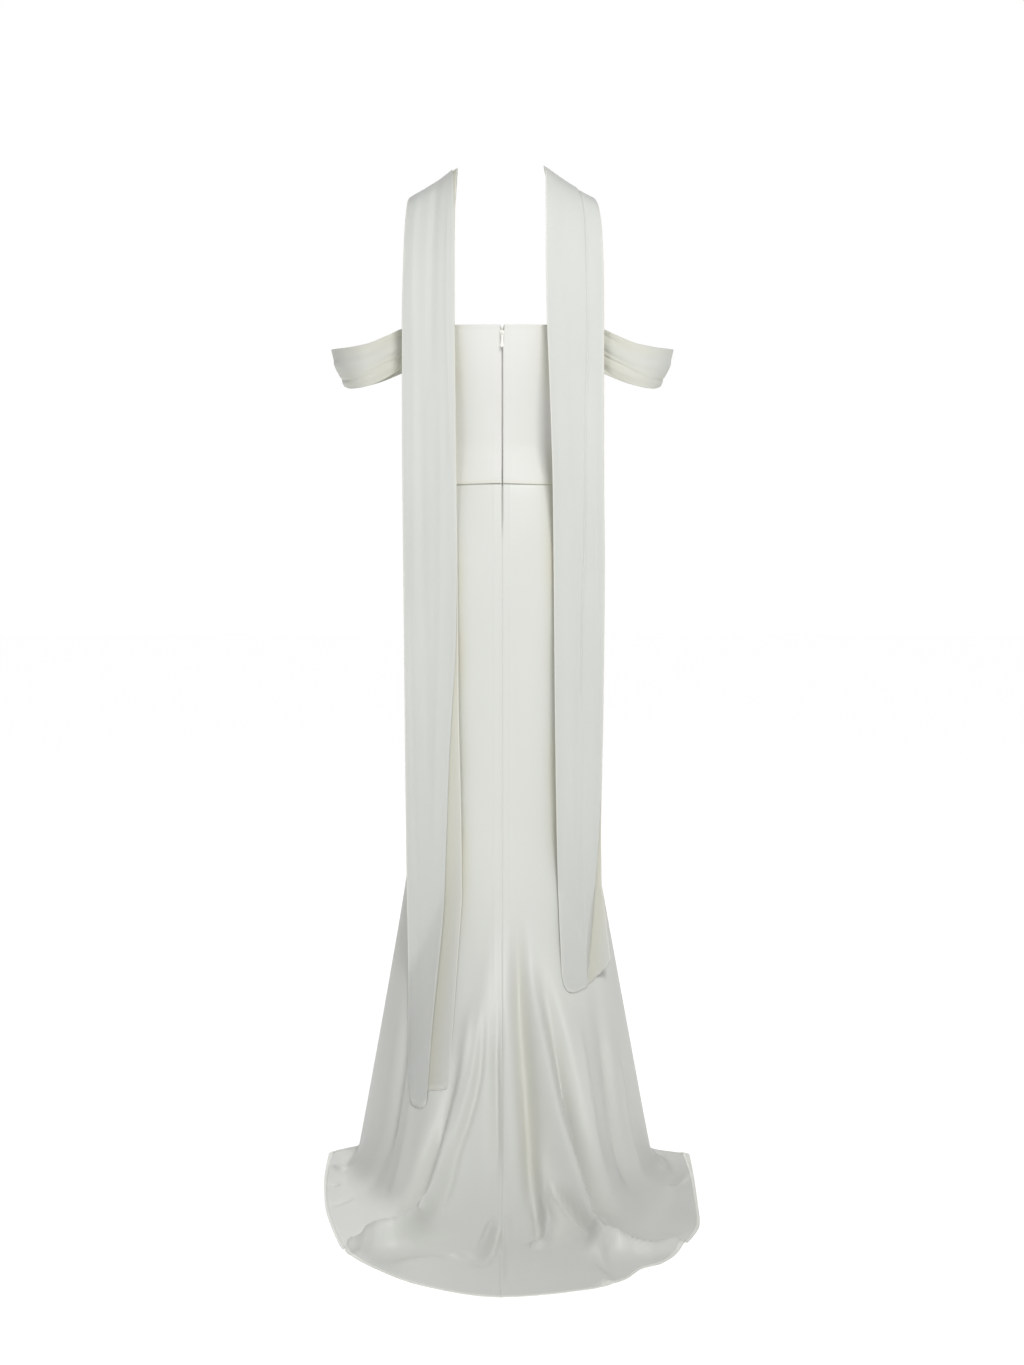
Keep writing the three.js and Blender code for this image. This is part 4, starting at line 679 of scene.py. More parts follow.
def woven_cloth(name, light, shade, painted_warm_shade, roughness, sheen, grain_mm, pull_mm, specular, alpha=1.0):
    """A cloth whose threads break up the light: a fine grain, drifts of tone and broad soft pulls.

    grain_mm is the size of the crepe grain, drawn coarser than the real 0.5 mm threads so that it shows.
    """
    material, tree, place = new_material(name)
    stretched = add_node(tree, "ShaderNodeMapping", {"Scale": (1.0, 1.0, 0.3)}, [("Vector", place.outputs["Object"])])
    drift = add_node(
        tree, "ShaderNodeTexNoise", {"Scale": 1000 / pull_mm, "Detail": 4.0, "Roughness": 0.55},
        [("Vector", stretched.outputs["Vector"])],
    ).outputs["Fac"]
    grain = add_node(
        tree, "ShaderNodeTexNoise", {"Scale": 1000 / grain_mm, "Detail": 2.0, "Roughness": 0.6},
        [("Vector", place.outputs["UV"])],
    ).outputs["Fac"]
    colour = two_tones(tree, drift, shade, light)
    # The cloth takes its painted warm shade where the pieces mark it, and a paler tone where it is turned double.
    for mark, tone in (("warmth", painted_warm_shade), ("doubled", DOUBLED_CLOTH)):
        marked = add_node(tree, "ShaderNodeAttribute", {"attribute_name": mark})
        colour = two_tones(tree, marked.outputs["Fac"], colour, tone)
    rough = add_node(
        tree, "ShaderNodeMapRange",
        {"From Min": 0.3, "From Max": 0.7, "To Min": roughness - 0.05, "To Max": roughness + 0.06}, [("Value", drift)],
    )
    broad = bumped(tree, drift, 0.35, 0.0016)
    fine = bumped(tree, grain, 0.22, 0.0004, [("Normal", broad)])
    settings = {
        "IOR": 1.46, "Specular IOR Level": specular, "Sheen Weight": sheen, "Sheen Roughness": 0.4,
        "Sheen Tint": "#fbfbf8", "Alpha": alpha,
    }
    links = [("Base Color", colour), ("Roughness", rough.outputs["Result"]), ("Normal", fine)]
    return surfaced(material, settings, links)


def enamelled_zinc(colour):
    """Die-cast zinc with stoved enamel: a smooth hard gloss, slightly thick over the edges."""
    material, tree, place = new_material("Enamelled zinc")
    orange_peel = add_node(
        tree, "ShaderNodeTexNoise", {"Scale": 900.0, "Detail": 1.0}, [("Vector", place.outputs["Object"])],
    ).outputs["Fac"]
    tone, bump = two_tones(tree, orange_peel, colour, "#f6f5ef"), bumped(tree, orange_peel, 0.1, 0.0001)
    settings = {"Roughness": 0.24, "IOR": 1.5, "Coat Weight": 0.5, "Coat Roughness": 0.12}
    return surfaced(material, settings, [("Base Color", tone), ("Normal", bump)])


def plain_weave_tape(colour):
    """Polyester zip tape woven in a fine herringbone, matt, its ribs about 1 mm apart."""
    material, tree, place = new_material("Woven polyester zip tape")
    ribs = add_node(
        tree, "ShaderNodeTexWave",
        {"wave_type": "BANDS", "bands_direction": "DIAGONAL", "Scale": 160.0, "Distortion": 1.5, "Detail": 1.0},
        [("Vector", place.outputs["UV"])],
    ).outputs["Fac"]
    tone, bump = two_tones(tree, ribs, "#d5d3c8", colour), bumped(tree, ribs, 0.4, 0.0003)
    settings = {"Roughness": 0.8, "Specular IOR Level": 0.25}
    return surfaced(material, settings, [("Base Color", tone), ("Normal", bump)])


def polyester_thread(colour):
    """Spun polyester thread: two plies twisted, a soft shine along the twist."""
    material, tree, place = new_material("Spun polyester thread")
    twist = add_node(
        tree, "ShaderNodeTexWave", {"wave_type": "BANDS", "bands_direction": "DIAGONAL", "Scale": 1200.0},
        [("Vector", place.outputs["Object"])],
    ).outputs["Fac"]
    settings = {"Roughness": 0.5, "Sheen Weight": 0.3}
    return surfaced(material, settings, [("Base Color", two_tones(tree, twist, "#d8d6ca", colour))])


def studio_paper(colour):
    """Matt white background paper, lit from behind so that it stays pale."""
    material, tree, place = new_material("Studio background paper")
    fibre = add_node(
        tree, "ShaderNodeTexNoise", {"Scale": 300.0, "Detail": 3.0}, [("Vector", place.outputs["Object"])],
    ).outputs["Fac"]
    settings = {"Roughness": 0.9, "Specular IOR Level": 0.1, "Emission Color": "#ffffff", "Emission Strength": 0.92}
    return surfaced(material, settings, [("Base Color", two_tones(tree, fibre, "#8b8b8a", colour))])


def gown_materials(colours):
    """All finishes of the gown, made once."""
    made = bpy.data.materials
    if "Satin-backed crepe" not in made:
        # The last colour given to each cloth is the tone of its painted warm shade.
        # A heavy crepe whose satin side shows: smooth, with a soft gleam along the folds.
        woven_cloth("Satin-backed crepe", colours.satin, "#d3d4cf", "#d2d0be", 0.46, 0.08, 2.4, 150, 0.45)
        # The same crepe with its dull side out, over a stiff backing.
        woven_cloth("Matt crepe", colours.crepe, "#d9d9d4", "#d7d5c2", 0.55, 0.1, 2.0, 90, 0.35)
        # Silk chiffon: hard-twisted thread, sheer and dry, with no gleam.
        woven_cloth("Silk chiffon", colours.chiffon, "#d2d4cf", "#d3d1bf", 0.75, 0.2, 1.8, 60, 0.2, alpha=0.9)
        plain_weave_tape(colours.tape)
        polyester_thread(colours.thread)
        enamelled_zinc(colours.enamel)
    return made


# ---- Settings ----

def millimetres(name, description, value):
    return bpy.props.FloatProperty(name=name, description=description, default=value / 1000, unit="LENGTH")


def hex_colour(name, description, value):
    return bpy.props.StringProperty(name=name, description=description, default=value)


class GownSizes(bpy.types.PropertyGroup):
    """Sizes that a dressmaker would change."""

    crepe_thickness: millimetres("Crepe thickness", "Thickness of the skirt's satin-backed crepe", 0.8)
    bodice_thickness: millimetres("Bodice thickness", "Thickness of the bodice's crepe with its backing", 1.4)
    chiffon_thickness: millimetres("Chiffon thickness", "Thickness of the chiffon", 0.4)
    hem_depth: millimetres("Hem depth", "Depth of the skirt's turned hem", 10)
    stitch_pitch: millimetres("Stitch pitch", "Distance from one stitch to the next", 3.2)


class GownColours(bpy.types.PropertyGroup):
    """Colours of the cloth and trim, as sRGB hex values."""

    satin: hex_colour("Satin", "Skirt, in the light", "#dddfd8")
    crepe: hex_colour("Crepe", "Bodice, in the light", "#e1e1dd")
    chiffon: hex_colour("Chiffon", "Scarves and bands, in the light", "#dadcd8")
    tape: hex_colour("Zip tape", "Woven tape beside the zip", "#e9e8e0")
    thread: hex_colour("Thread", "Sewing thread", "#ebe9df")
    enamel: hex_colour("Enamel", "Slider and pull", "#efeee7")


# ---- Pieces ----

# Grids of the cloth pieces already made, by name, for what is sewn on them or hangs over them.
made_grids = {}


def lay_panels(context, finish, make, panels):
    """Lays each panel over its solid; a panel is its node, its angles and the gaps at its two sides."""
    material = gown_materials(context.scene.gown_colours)[finish]
    for node, angles, gaps in panels:
        grid, thickness, warmth, doubled = make(angles, gaps, context.scene.gown_sizes)
        piece = cloth_object(node + "_cloth", grid, material, thickness, warmth, doubled)
        dress_node(piece, node)
        made_grids[piece.name] = grid
    return {"FINISHED"}


SKIRT_ROWS = np.concatenate([
    np.linspace(0, 1, 44), np.linspace(1, 2, 92)[1:], np.linspace(2, 2.9, 48)[1:], np.linspace(2.9, 3, 16)[1:],
])
HEM_RISE = 0.5
HEM_LINE_DEPTH = 0.6
FLOOR_AIR = 0.25


def skirt_panel(angles, gaps, sizes):
    grid = skirt_grid(angles, SKIRT_ROWS)
    grid = press_sides(grid, gaps)
    from_hem = run_lengths(grid[::-1], 0)[::-1]
    hem = sizes.hem_depth * 1000
    in_hem = smoothstep(-from_hem, -hem, -hem + 1.5)
    turned = HEM_RISE * in_hem - HEM_LINE_DEPTH * bell(from_hem - hem, 1.6)
    grid = grid + grid_normals(grid) * turned[..., None]
    grid[..., 2] = np.maximum(grid[..., 2], sizes.crepe_thickness * 1000 + FLOOR_AIR)
    # Painted warm shade: beside the scarves and in the troughs of the train.
    warmth = np.clip(painted_shade_beside_scarves(grid) + painted_shade_in_folds(angles, grid), 0, 1)
    return grid, sizes.crepe_thickness * 1000, warmth, 0.8 * in_hem


# Inner edges of the two scarves down the back, by height, beside which warm shade is painted on the cloth.
LEFT_SCARF_EDGE = [(300, 60), (505, 61), (705, 65), (905, 66), (1163, 69), (1282, 70)]
RIGHT_SCARF_EDGE = [(400, 84), (505, 81), (705, 78), (905, 76), (1024, 74.5), (1163, 70), (1282, 65.5)]


def painted_shade_beside_scarves(grid):
    """Painted warm shade that lines the skirt and bodice beside the scarves, uneven down its length."""
    x, y, z = columns_of(grid)
    amount = np.zeros_like(x)
    for side, table, reach in ((1, LEFT_SCARF_EDGE, 12), (-1, RIGHT_SCARF_EDGE, 13)):
        heights, edges = np.array(table, float).T
        from_edge = np.interp(z, heights, edges) - side * x
        uneven = 0.6 + 0.25 * np.sin(z / 61 + side) + 0.15 * np.sin(z / 23)
        fade = smoothstep(z, heights[0], heights[0] + 140)
        amount += 0.85 * fade * uneven * bell(np.maximum(from_edge, 0), reach) * (y > 0) * (from_edge > -60)
    return amount


def painted_shade_in_folds(angles, grid):
    """Painted warm shade in the troughs of the train."""
    _, y, z = columns_of(grid)
    angle = from_back(angles)[None, :]
    troughs = bell(angle + 9, 3.2) + 0.4 * bell(angle + 22, 3)
    return 0.35 * troughs * smoothstep(z, 10, 80) * (1 - smoothstep(z, 260, 420)) * (y > 0)


HALF_BACK_ANGLES = np.concatenate([
    [0, 0.08, 0.2, 0.4, 0.7, 1.1, 1.6, 2.2], np.linspace(2.9, 42, 58), np.linspace(42, 87, 38)[1:],
    [88, 88.8, 89.4, 89.8, 90],
])
FRONT_ANGLES = np.concatenate([
    [90, 90.3, 90.8, 91.6, 92.8, 94.2, 95.8, 97.6], np.linspace(100, 260, 80),
    [262.4, 264.2, 265.8, 267.2, 268.4, 269.2, 269.7, 270],
])


class GOWN_OT_skirt(bpy.types.Operator):
    """Lay the three panels of the skirt over their solids"""

    bl_idname = "gown.skirt"
    bl_label = "Skirt and train"

    def execute(self, context):
        return lay_panels(context, "Satin-backed crepe", skirt_panel, [
            ("skirt_back_left", HALF_BACK_ANGLES[::-1], (seam_rows, back_gap)),
            ("skirt_back_right", -HALF_BACK_ANGLES, (back_gap, seam_rows)),
            ("skirt_front", FRONT_ANGLES[::-1], (seam_rows, seam_rows)),
        ])


def bodice_panel(angles, gaps, sizes):
    downs = np.concatenate([[0, 0.004, 0.01, 0.02], np.linspace(0.035, 0.955, 56), [0.97, 0.98, 0.987, 0.994, 1]])
    wrapped = from_back(angles)
    top = neckline(np.abs(wrapped))[..., 0]
    height = mix(top[None, :], BODICE_BOTTOM, downs[:, None])
    grid = bodice_point(height, np.broadcast_to(wrapped, height.shape))
    normals = grid_normals(grid)
    from_top = run_lengths(grid, 0)
    from_bottom = run_lengths(grid[::-1], 0)[::-1]
    princess = np.abs(wrapped)[None, :] - mix(146, 152, downs)[:, None]
    relief = 0.45 * bell(from_bottom, 3.5) - 0.5 * bell(from_top - 5, 1.2) - 0.45 * bell(princess, 0.55)
    grid = grid + normals * relief[..., None]
    around = np.radians(wrapped)[None, :]
    grid[..., 2] += (0.8 * np.cos(4.2 * around) + 0.5 * np.sin(7 * around + 1)) * bell(from_bottom, 12)
    grid = press_sides(grid, gaps)
    # Painted warm shade beside the scarves and along the bodice's lower edge, where it stands over the skirt.
    warmth = np.clip(0.75 * painted_shade_beside_scarves(grid) + 0.35 * bell(from_bottom, 5), 0, 1)
    return grid, sizes.bodice_thickness * 1000, warmth, 0.0


class GOWN_OT_bodice(bpy.types.Operator):
    """Lay the bodice's front and its two back panels over their solids"""

    bl_idname = "gown.bodice"
    bl_label = "Bodice"

    def execute(self, context):
        near_seam = np.array([0, 0.3, 0.6, 1.0, 1.5, 2.2, 3.0])
        half = np.concatenate([near_seam, np.linspace(4, 86, 52), 90 - near_seam[::-1]])
        whole = np.concatenate([90 + near_seam, np.linspace(94, 266, 130), 270 - near_seam[::-1]])
        return lay_panels(context, "Matt crepe", bodice_panel, [
            ("bodice_back_left", half[::-1], (seam_rows, back_gap)),
            ("bodice_back_right", -half, (back_gap, seam_rows)),
            ("bodice_front", whole[::-1], (seam_rows, seam_rows)),
        ])


SCARVES = {
    1: {
        "run": LEFT_SCARF, "pleat": LEFT_SCARF_PLEAT, "front_tip": LEFT_FRONT_TIP, "back_tip": LEFT_BACK_TIP,
        "folds": LEFT_SCARF_FOLDS, "front_edge": 0.0, "lap": 0.17,
    },
    -1: {
        "run": RIGHT_SCARF, "pleat": RIGHT_SCARF_PLEAT, "front_tip": RIGHT_FRONT_TIP, "back_tip": RIGHT_BACK_TIP,
        "folds": RIGHT_SCARF_FOLDS, "front_edge": 1.0, "lap": 0.13,
    },
}
# Runs down a scarf, in millimetres: sewn inside the bodice, clear of its edge, and over the shoulder.
SCARF_SEWN_TO = 27.0
SCARF_FREE_FROM = 90.0
SHOULDER_END = 420.0
SCARF_ROWS = {"sewn": 7, "hanging": 150, "end": 34}
SCARF_SEWN_OUTSET = 1.3
ROOT_LEAN = 0.6
SHOULDER_DIP = 3.0
SCARF_END_PLEAT = 0.5
# Air between a scarf's lowest layer and the dress, down its length and at its end.
SCARF_AIR = (3.6, 1.0)
LAYER_DEPTHS = {"front": 3.0, "middle": 1.7, "back": 0.4}


def scarf_section(pleat, lap, front_edge):
    """One row across a scarf folded in a Z: shares across it, depths, and which layer's end it follows."""
    ahead = 1 if front_edge == 0 else -1
    far_edge = 1 - front_edge
    front, middle, back = (LAYER_DEPTHS[layer] for layer in ("front", "middle", "back"))
    edge_steps = np.array([0, 0.012, 0.03, 0.055, 0.09])
    to_fold = np.concatenate([edge_steps, np.linspace(0.11, 0.98, 62), [1]])
    turn = np.radians([25, 60, 90, 120, 155])
    under = np.linspace(0, 1, 6)
    from_fold = np.concatenate([[0, 0.04], np.linspace(0.08, 0.89, 26), 1 - edge_steps[::-1]])
    folded = pleat - ahead * lap
    over = (1 + np.cos(turn)) / 2
    stretches = [
        (mix(front_edge, pleat, to_fold), np.full(len(to_fold), front)),
        (pleat + ahead * 0.012 * np.sin(turn), mix(middle, front, over)),
        (mix(pleat, folded, under), np.full(len(under), middle)),
        (folded - ahead * 0.009 * np.sin(turn), mix(back, middle, over)),
        (mix(folded, far_edge, from_fold), np.full(len(from_fold), back)),
    ]
    share, depth = (np.concatenate(values) for values in zip(*stretches))
    return share, depth, np.arange(len(share)) < len(to_fold) + 2


def scarf_relief(folds, run, share):
    """Height of a scarf's soft folds across one row."""
    relief = np.zeros_like(share)
    for height, width, step, line_at, first_run, last_run in folds:
        lasting = smoothstep(run, first_run, first_run + 110) * (1 - smoothstep(run, last_run, last_run + 90))
        away = share - line_at(run)[0]
        shape = bell(away, width) if step == 0 else np.tanh(away / step) / 2 - bell(away + step, 0.02)
        relief += height * lasting * shape
    return relief


def blend_root(grid, runs):
    """Eases each thread of a scarf from where it is sewn to where it hangs free."""
    root, free = np.searchsorted(runs, SCARF_SEWN_TO, "right") - 1, np.searchsorted(runs, SCARF_FREE_FROM)
    length = runs[free] - runs[root]
    lean_in = (grid[root] - grid[root - 1]) / (runs[root] - runs[root - 1]) * length * ROOT_LEAN
    lean_out = (grid[free + 1] - grid[free]) / (runs[free + 1] - runs[free]) * length * ROOT_LEAN
    for i in range(root + 1, free):
        t = (runs[i] - runs[root]) / length
        ends = mix(grid[root], grid[free], t * t * (3 - 2 * t))
        grid[i] = ends + lean_in * t * (1 - t) ** 2 + lean_out * t * t * (t - 1)


def settle_down_back(grid, first):
    """Evens out how far back the rows hang from the first one on, without sinking into the dress."""
    for _ in range(3):
        soft = grid[first:, :, 1].copy()
        soft[1:-1] = (soft[:-2] + 2 * soft[1:-1] + soft[2:]) / 4
        grid[first:, :, 1] = np.maximum(soft, grid[first:, :, 1] - 0.6)


def scarf_piece(side, tree, sizes, material):
    tables = SCARVES[side]
    place = smooth_table(tables["run"])
    last = tables["run"][-1][0]
    front_tip, back_tip = smooth_table(tables["front_tip"]), smooth_table(tables["back_tip"])
    pleat_at = smooth_table(tables["pleat"])
    folds = [(*fold[:3], smooth_table(fold[3]), fold[3][0][0], fold[3][-1][0]) for fold in tables["folds"]]
    sections, painted_warm_shade, double = [], [], []
    falls = np.linspace(0, 1, SCARF_ROWS["end"])[1:]
    hanging = np.linspace(SCARF_SEWN_TO, last, SCARF_ROWS["hanging"])[1:]
    runs = np.concatenate([np.linspace(0, SCARF_SEWN_TO, SCARF_ROWS["sewn"]), hanging])
    for run, fall in [(run, 0.0) for run in runs] + [(last, fall) for fall in falls]:
        inner_x, inner_y, inner_z, outer_x, outer_y, outer_z = place(run)
        pleat = mix(pleat_at(run)[0], SCARF_END_PLEAT, smoothstep(fall, 0, 1.1) if side == 1 else fall)
        share, depth, in_front = scarf_section(pleat, tables["lap"], tables["front_edge"])
        strength = smoothstep(run, SCARF_SEWN_TO, 300)
        edge = np.minimum(share, 1 - share)
        relief = (1 - fall) * scarf_relief(folds, run, share)
        relief += strength * (-1.2 * bell(edge, 0.05) + 0.3 * bell(edge - 0.014, 0.012))
        lift = np.where(in_front, 0.5 * bell(share - pleat, 0.06), 0)
        out = mix(0.25, 1, strength) * depth + strength * lift + relief
        x = mix(outer_x, inner_x, share)
        y = mix(outer_y, inner_y, share)
        z = mix(outer_z, inner_z, share)
        if fall > 0:
            lower = np.where(in_front[:, None], front_tip(share), back_tip(share))
            x, z = mix(x, lower[:, 0], fall), mix(z, lower[:, 1], fall)
        if run <= SCARF_SEWN_TO:
            row = bodice_at_x(side * x, z, BODICE_OUTSET + SCARF_SEWN_OUTSET, back=False)
            row = row + np.stack([0 * x, -(out * 0.5), 0 * x], -1)
        elif run < SHOULDER_END:
            ahead, behind = place(run + 8), place(run - 8)
            away = np.array([behind[2] - ahead[2], ahead[1] - behind[1]])
            away /= np.linalg.norm(away)
            dip = SHOULDER_DIP * 4 * share * (1 - share) * strength
            row = np.stack([side * x, y + away[0] * out, z + away[1] * out - dip], -1)
        else:
            at_end = smoothstep(fall, 0.55, 1)
            body = np.array([cloth_behind(tree, side * a, b) for a, b in zip(x, z)]) + mix(*SCARF_AIR, at_end)
            out = out * mix(1, 0.5, at_end)
            settled = (y + body + np.hypot(body - y, 2.5)) / 2
            row = np.stack([side * x, settled + out, z], -1)
        sections.append(row)
        # Painted warm shade on the under layer where it shows beyond the fold, and along the scarf's edges.
        beyond = (share - pleat) if side == 1 else (pleat - share)
        in_view = smoothstep(beyond, 0, 0.02) * ~in_front
        painted_warm_shade.append(np.clip((0.65 * in_view * bell(beyond, 0.3) + 0.2 * bell(edge, 0.03)) * strength, 0, 1))
        hem = smoothstep(fall, 0.972, 0.99) if fall > 0 else 0
        double.append(0.6 * np.maximum(1 - smoothstep(edge, 0.012, 0.026), hem) * strength)
    grid = np.array(sections)
    blend_root(grid, runs)
    settle_down_back(grid, int(np.argmax(runs >= SHOULDER_END)))
    name = "scarf_left_cloth" if side == 1 else "scarf_right_cloth"
    piece = cloth_object(name, grid, material, sizes.chiffon_thickness * 1000, np.array(painted_warm_shade), np.array(double))
    dress_node(piece, name.replace("_cloth", ""))
    made_grids[name] = grid
    return piece


def cloth_behind(tree, x, height):
    """How far back the dress reaches at an x and a height, in millimetres."""
    start = Vector((x / 1000, 3, (height - WAIST_HEIGHT) / 1000))
    hit = tree.ray_cast(start, Vector((0, -1, 0)))[0]
    return hit.y * 1000 if hit is not None and hit.y > 0 else -1000.0


def backs_tree(names):
    """The outsides of cloth pieces, ready for rays."""
    points, faces = [], []
    for name in names:
        mesh = bpy.data.objects[name].data
        start = len(points)
        points.extend(vert.co.copy() for vert in mesh.vertices)
        faces.extend([start + i for i in face.vertices] for face in mesh.polygons)
    return BVHTree.FromPolygons(points, faces)


class GOWN_OT_scarves(bpy.types.Operator):
    """Hang the two chiffon scarf panels from the front of the bodice over the shoulders"""

    bl_idname = "gown.scarves"
    bl_label = "Scarf panels"

    def execute(self, context):
        sizes = context.scene.gown_sizes
        chiffon = gown_materials(context.scene.gown_colours)["Silk chiffon"]
        tree = backs_tree([
            "skirt_back_left_cloth", "skirt_back_right_cloth", "bodice_back_left_cloth", "bodice_back_right_cloth",
        ])
        for side in (1, -1):
            scarf_piece(side, tree, sizes, chiffon)
        return {"FINISHED"}


# How far off the bodice a band lies beside it, and where its ends are sewn; and how far it bulges.
BAND_OUTSET = 2.2
BAND_SEWN_OUTSET = 1.7
BAND_BULGE = 3.2


def band_piece(side, sizes, material):
    edge = smooth_table(BAND_EDGES)
    shares = np.concatenate([[0, 0.01, 0.025], np.linspace(0.045, 0.955, 74), [0.975, 0.99, 1]])
    downs = np.concatenate([[0, 0.012, 0.03], np.linspace(0.06, 0.94, 44), [0.97, 0.988, 1]])
    share, down = np.meshgrid(shares, downs)
    top_x, top_y, top_z, low_x, low_y, low_z = columns_of(edge(share))
    grid = np.stack([side * mix(top_x, low_x, down), mix(top_y, low_y, down), mix(top_z, low_z, down)], -1)
    ahead, behind = edge(np.minimum(share + 0.03, 1)), edge(np.maximum(share - 0.03, 0))
    along_x, along_y = side * (ahead[..., 0] - behind[..., 0]), ahead[..., 1] - behind[..., 1]
    outward = np.stack([-along_y * side, along_x * side, 0 * along_x], -1)
    outward /= np.linalg.norm(outward, axis=-1, keepdims=True)
    relief = BAND_BULGE * np.sin(np.pi * down)
    near_seam = np.abs(2 * share - 1) ** 1.5
    for at_seam, at_arm, width, line in BAND_GATHERS:
        centre = smooth_table(line)(share)[..., 0]
        relief += mix(at_arm, at_seam, near_seam) * bell(down - centre, width)
    relief += 0.4 * bell(np.minimum(down, 1 - down) - 0.014, 0.01)
    grid = grid + outward * (np.sqrt(np.sin(np.pi * share)) * relief)[..., None]
    # Near its ends the band lies on the bodice, and the two ends are sewn flat against it.
    over_front = bodice_at_x(grid[..., 0], grid[..., 2], BODICE_OUTSET + BAND_OUTSET, False)[..., 1]
    over_back = bodice_at_x(grid[..., 0], grid[..., 2], BODICE_OUTSET + BAND_OUTSET, True)[..., 1]
    grid[..., 1] = np.where(share > 0.62, np.minimum(grid[..., 1], over_front), grid[..., 1])
    grid[..., 1] = np.where(share < 0.3, np.maximum(grid[..., 1], over_back), grid[..., 1])
    for column, back in ((0, True), (-1, False)):
        start = grid[:, column]
        grid[:, column] = bodice_at_x(start[:, 0], start[:, 2], BODICE_OUTSET + BAND_SEWN_OUTSET, back)
    # Painted warm shade over the band, heavier towards its sewn ends, with a painted highlight across its middle.
    painted_warm_shade = np.clip(0.3 + 0.5 * near_seam - 0.2 * bell(down - 0.4, 0.2), 0, 1)
    if side == 1:
        grid, painted_warm_shade = grid[:, ::-1], painted_warm_shade[:, ::-1]
    name = "shoulder_band_left_cloth" if side == 1 else "shoulder_band_right_cloth"
    piece = cloth_object(name, grid, material, sizes.chiffon_thickness * 1000, painted_warm_shade)
    dress_node(piece, name.replace("_cloth", ""))
    return piece


class GOWN_OT_bands(bpy.types.Operator):
    """Drape the off-shoulder bands round the arms"""

    bl_idname = "gown.bands"
    bl_label = "Off-shoulder bands"

    def execute(self, context):
        chiffon = gown_materials(context.scene.gown_colours)["Silk chiffon"]
        for side in (1, -1):
            band_piece(side, context.scene.gown_sizes, chiffon)
        return {"FINISHED"}


CAST_EDGE = 0.28
TAPE_WIDTH = 11.0
TAPE_TOP = 1256.0
TAPE_BOTTOM = 951.0
COIL = {"pitch": 1.5, "length": 2.4, "radius": 0.55, "lift": 0.2, "past_edge": 0.6}
UPPER_EDGE_STITCHES = 5.0
WAIST_STITCHES = 3.0
STITCH = {"share": 0.75, "radius": 0.3, "lift": 0.15}


def tape_grid(side):
    heights = np.concatenate([np.linspace(TAPE_TOP, SLIDER_TOP, 14), np.linspace(SLIDER_TOP, TAPE_BOTTOM, 90)[1:]])
    inset = mix(-3.3, -1.2, smoothstep(heights, 1034, 1047))
    edge = np.maximum(back_gap(heights) / 2 - 1.3, 0.35)
    across = np.linspace(0, 1, 9)
    x = side * mix(edge[:, None], edge[:, None] + TAPE_WIDTH - 0.4, across[None, :])
    height = np.broadcast_to(heights[:, None], x.shape)
    outset = np.broadcast_to(inset[:, None], x.shape)
    angle = np.degrees(np.arcsin(np.clip(x / (columns_of(body_section(height))[0] + outset), -1, 1)))
    grid = section_point(height, angle, outset)
    return grid[:, ::-1] if side == 1 else grid


class GOWN_OT_zip(bpy.types.Operator):
    """Sew in the zip: two tapes with their coil, and enamel on the slider and pull"""

    bl_idname = "gown.zip"
    bl_label = "Back zip"

    def execute(self, context):
        materials = gown_materials(context.scene.gown_colours)
        coil = bmesh.new()
        for side, name in ((1, "zip_tape_left_cloth"), (-1, "zip_tape_right_cloth")):
            grid = tape_grid(side)
            tape = cloth_object(name, grid, materials["Woven polyester zip tape"], 0.5)
            dress_node(tape, "zip_tape")
            path = grid[:, -1 if side == 1 else 0] + grid_normals(grid)[:, 0] * COIL["lift"]
            for _, place in places_along(path, COIL["pitch"]):
                place.x += side * COIL["past_edge"] / 1000
                add_bead(coil, Matrix.Translation(place), COIL["length"], COIL["radius"])
        teeth = object_from(coil, "zip_coil", materials["Spun polyester thread"])
        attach(teeth, "gown")
        for node in ("zip_slider", "zip_pull"):
            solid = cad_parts[node]
            solid.data.materials.clear()
            solid.data.materials.append(materials["Enamelled zinc"])
            weld = solid.modifiers.new("Weld", "WELD")
            weld.merge_threshold = 1e-6
            rounded = solid.modifiers.new("Cast edges", "BEVEL")
            rounded.width = CAST_EDGE / 1000
            rounded.segments = 3
            rounded.limit_method = "ANGLE"
            rounded.angle_limit = math.radians(35)
        return {"FINISHED"}


class GOWN_OT_stitching(bpy.types.Operator):
    """Stitch the hem, the waist seam and the upper edge of the bodice"""

    bl_idname = "gown.stitching"
    bl_label = "Stitching"

    def execute(self, context):
        sizes = context.scene.gown_sizes
        thread = gown_materials(context.scene.gown_colours)["Spun polyester thread"]
        pitch = sizes.stitch_pitch * 1000
        hem, edges = bmesh.new(), bmesh.new()
        for panel in ("front", "back_left", "back_right"):
            sew_along(hem, made_grids[f"skirt_{panel}_cloth"][::-1], sizes.hem_depth * 1000, pitch)
        for panel in ("front", "back_left", "back_right"):
            bodice = made_grids[f"bodice_{panel}_cloth"]
            sew_along(edges, bodice, UPPER_EDGE_STITCHES, pitch)
            sew_along(edges, bodice[::-1], WAIST_STITCHES, pitch)
        for bm, name in ((hem, "hem_stitches"), (edges, "bodice_stitches")):
            stitches = object_from(bm, name, thread)
            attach(stitches, "gown")
        return {"FINISHED"}


# ---- Studio ----

# The camera stands behind the dress; places in metres, its height from the floor, its tilt down in degrees.
CAMERA = {"x": -0.0145, "y": 4.5, "height": 1.05, "tilt": 4.206, "lens": 77.99, "sensor": 36.0}
# Lights: name, place, width and height in metres, power in watts.
SOFTBOXES = [
    ("Key softbox", (1.5, 4.3, 0.3), (0.9, 1.3), 21),
    ("Overhead softbox", (-0.9, 2.5, 2.4), (1.1, 0.9), 80),
    ("Far softbox", (0.8, -4.0, 1.4), (2.4, 2.4), 50),
]
LIGHT_AIM = Vector((0, 0.2, -0.2))


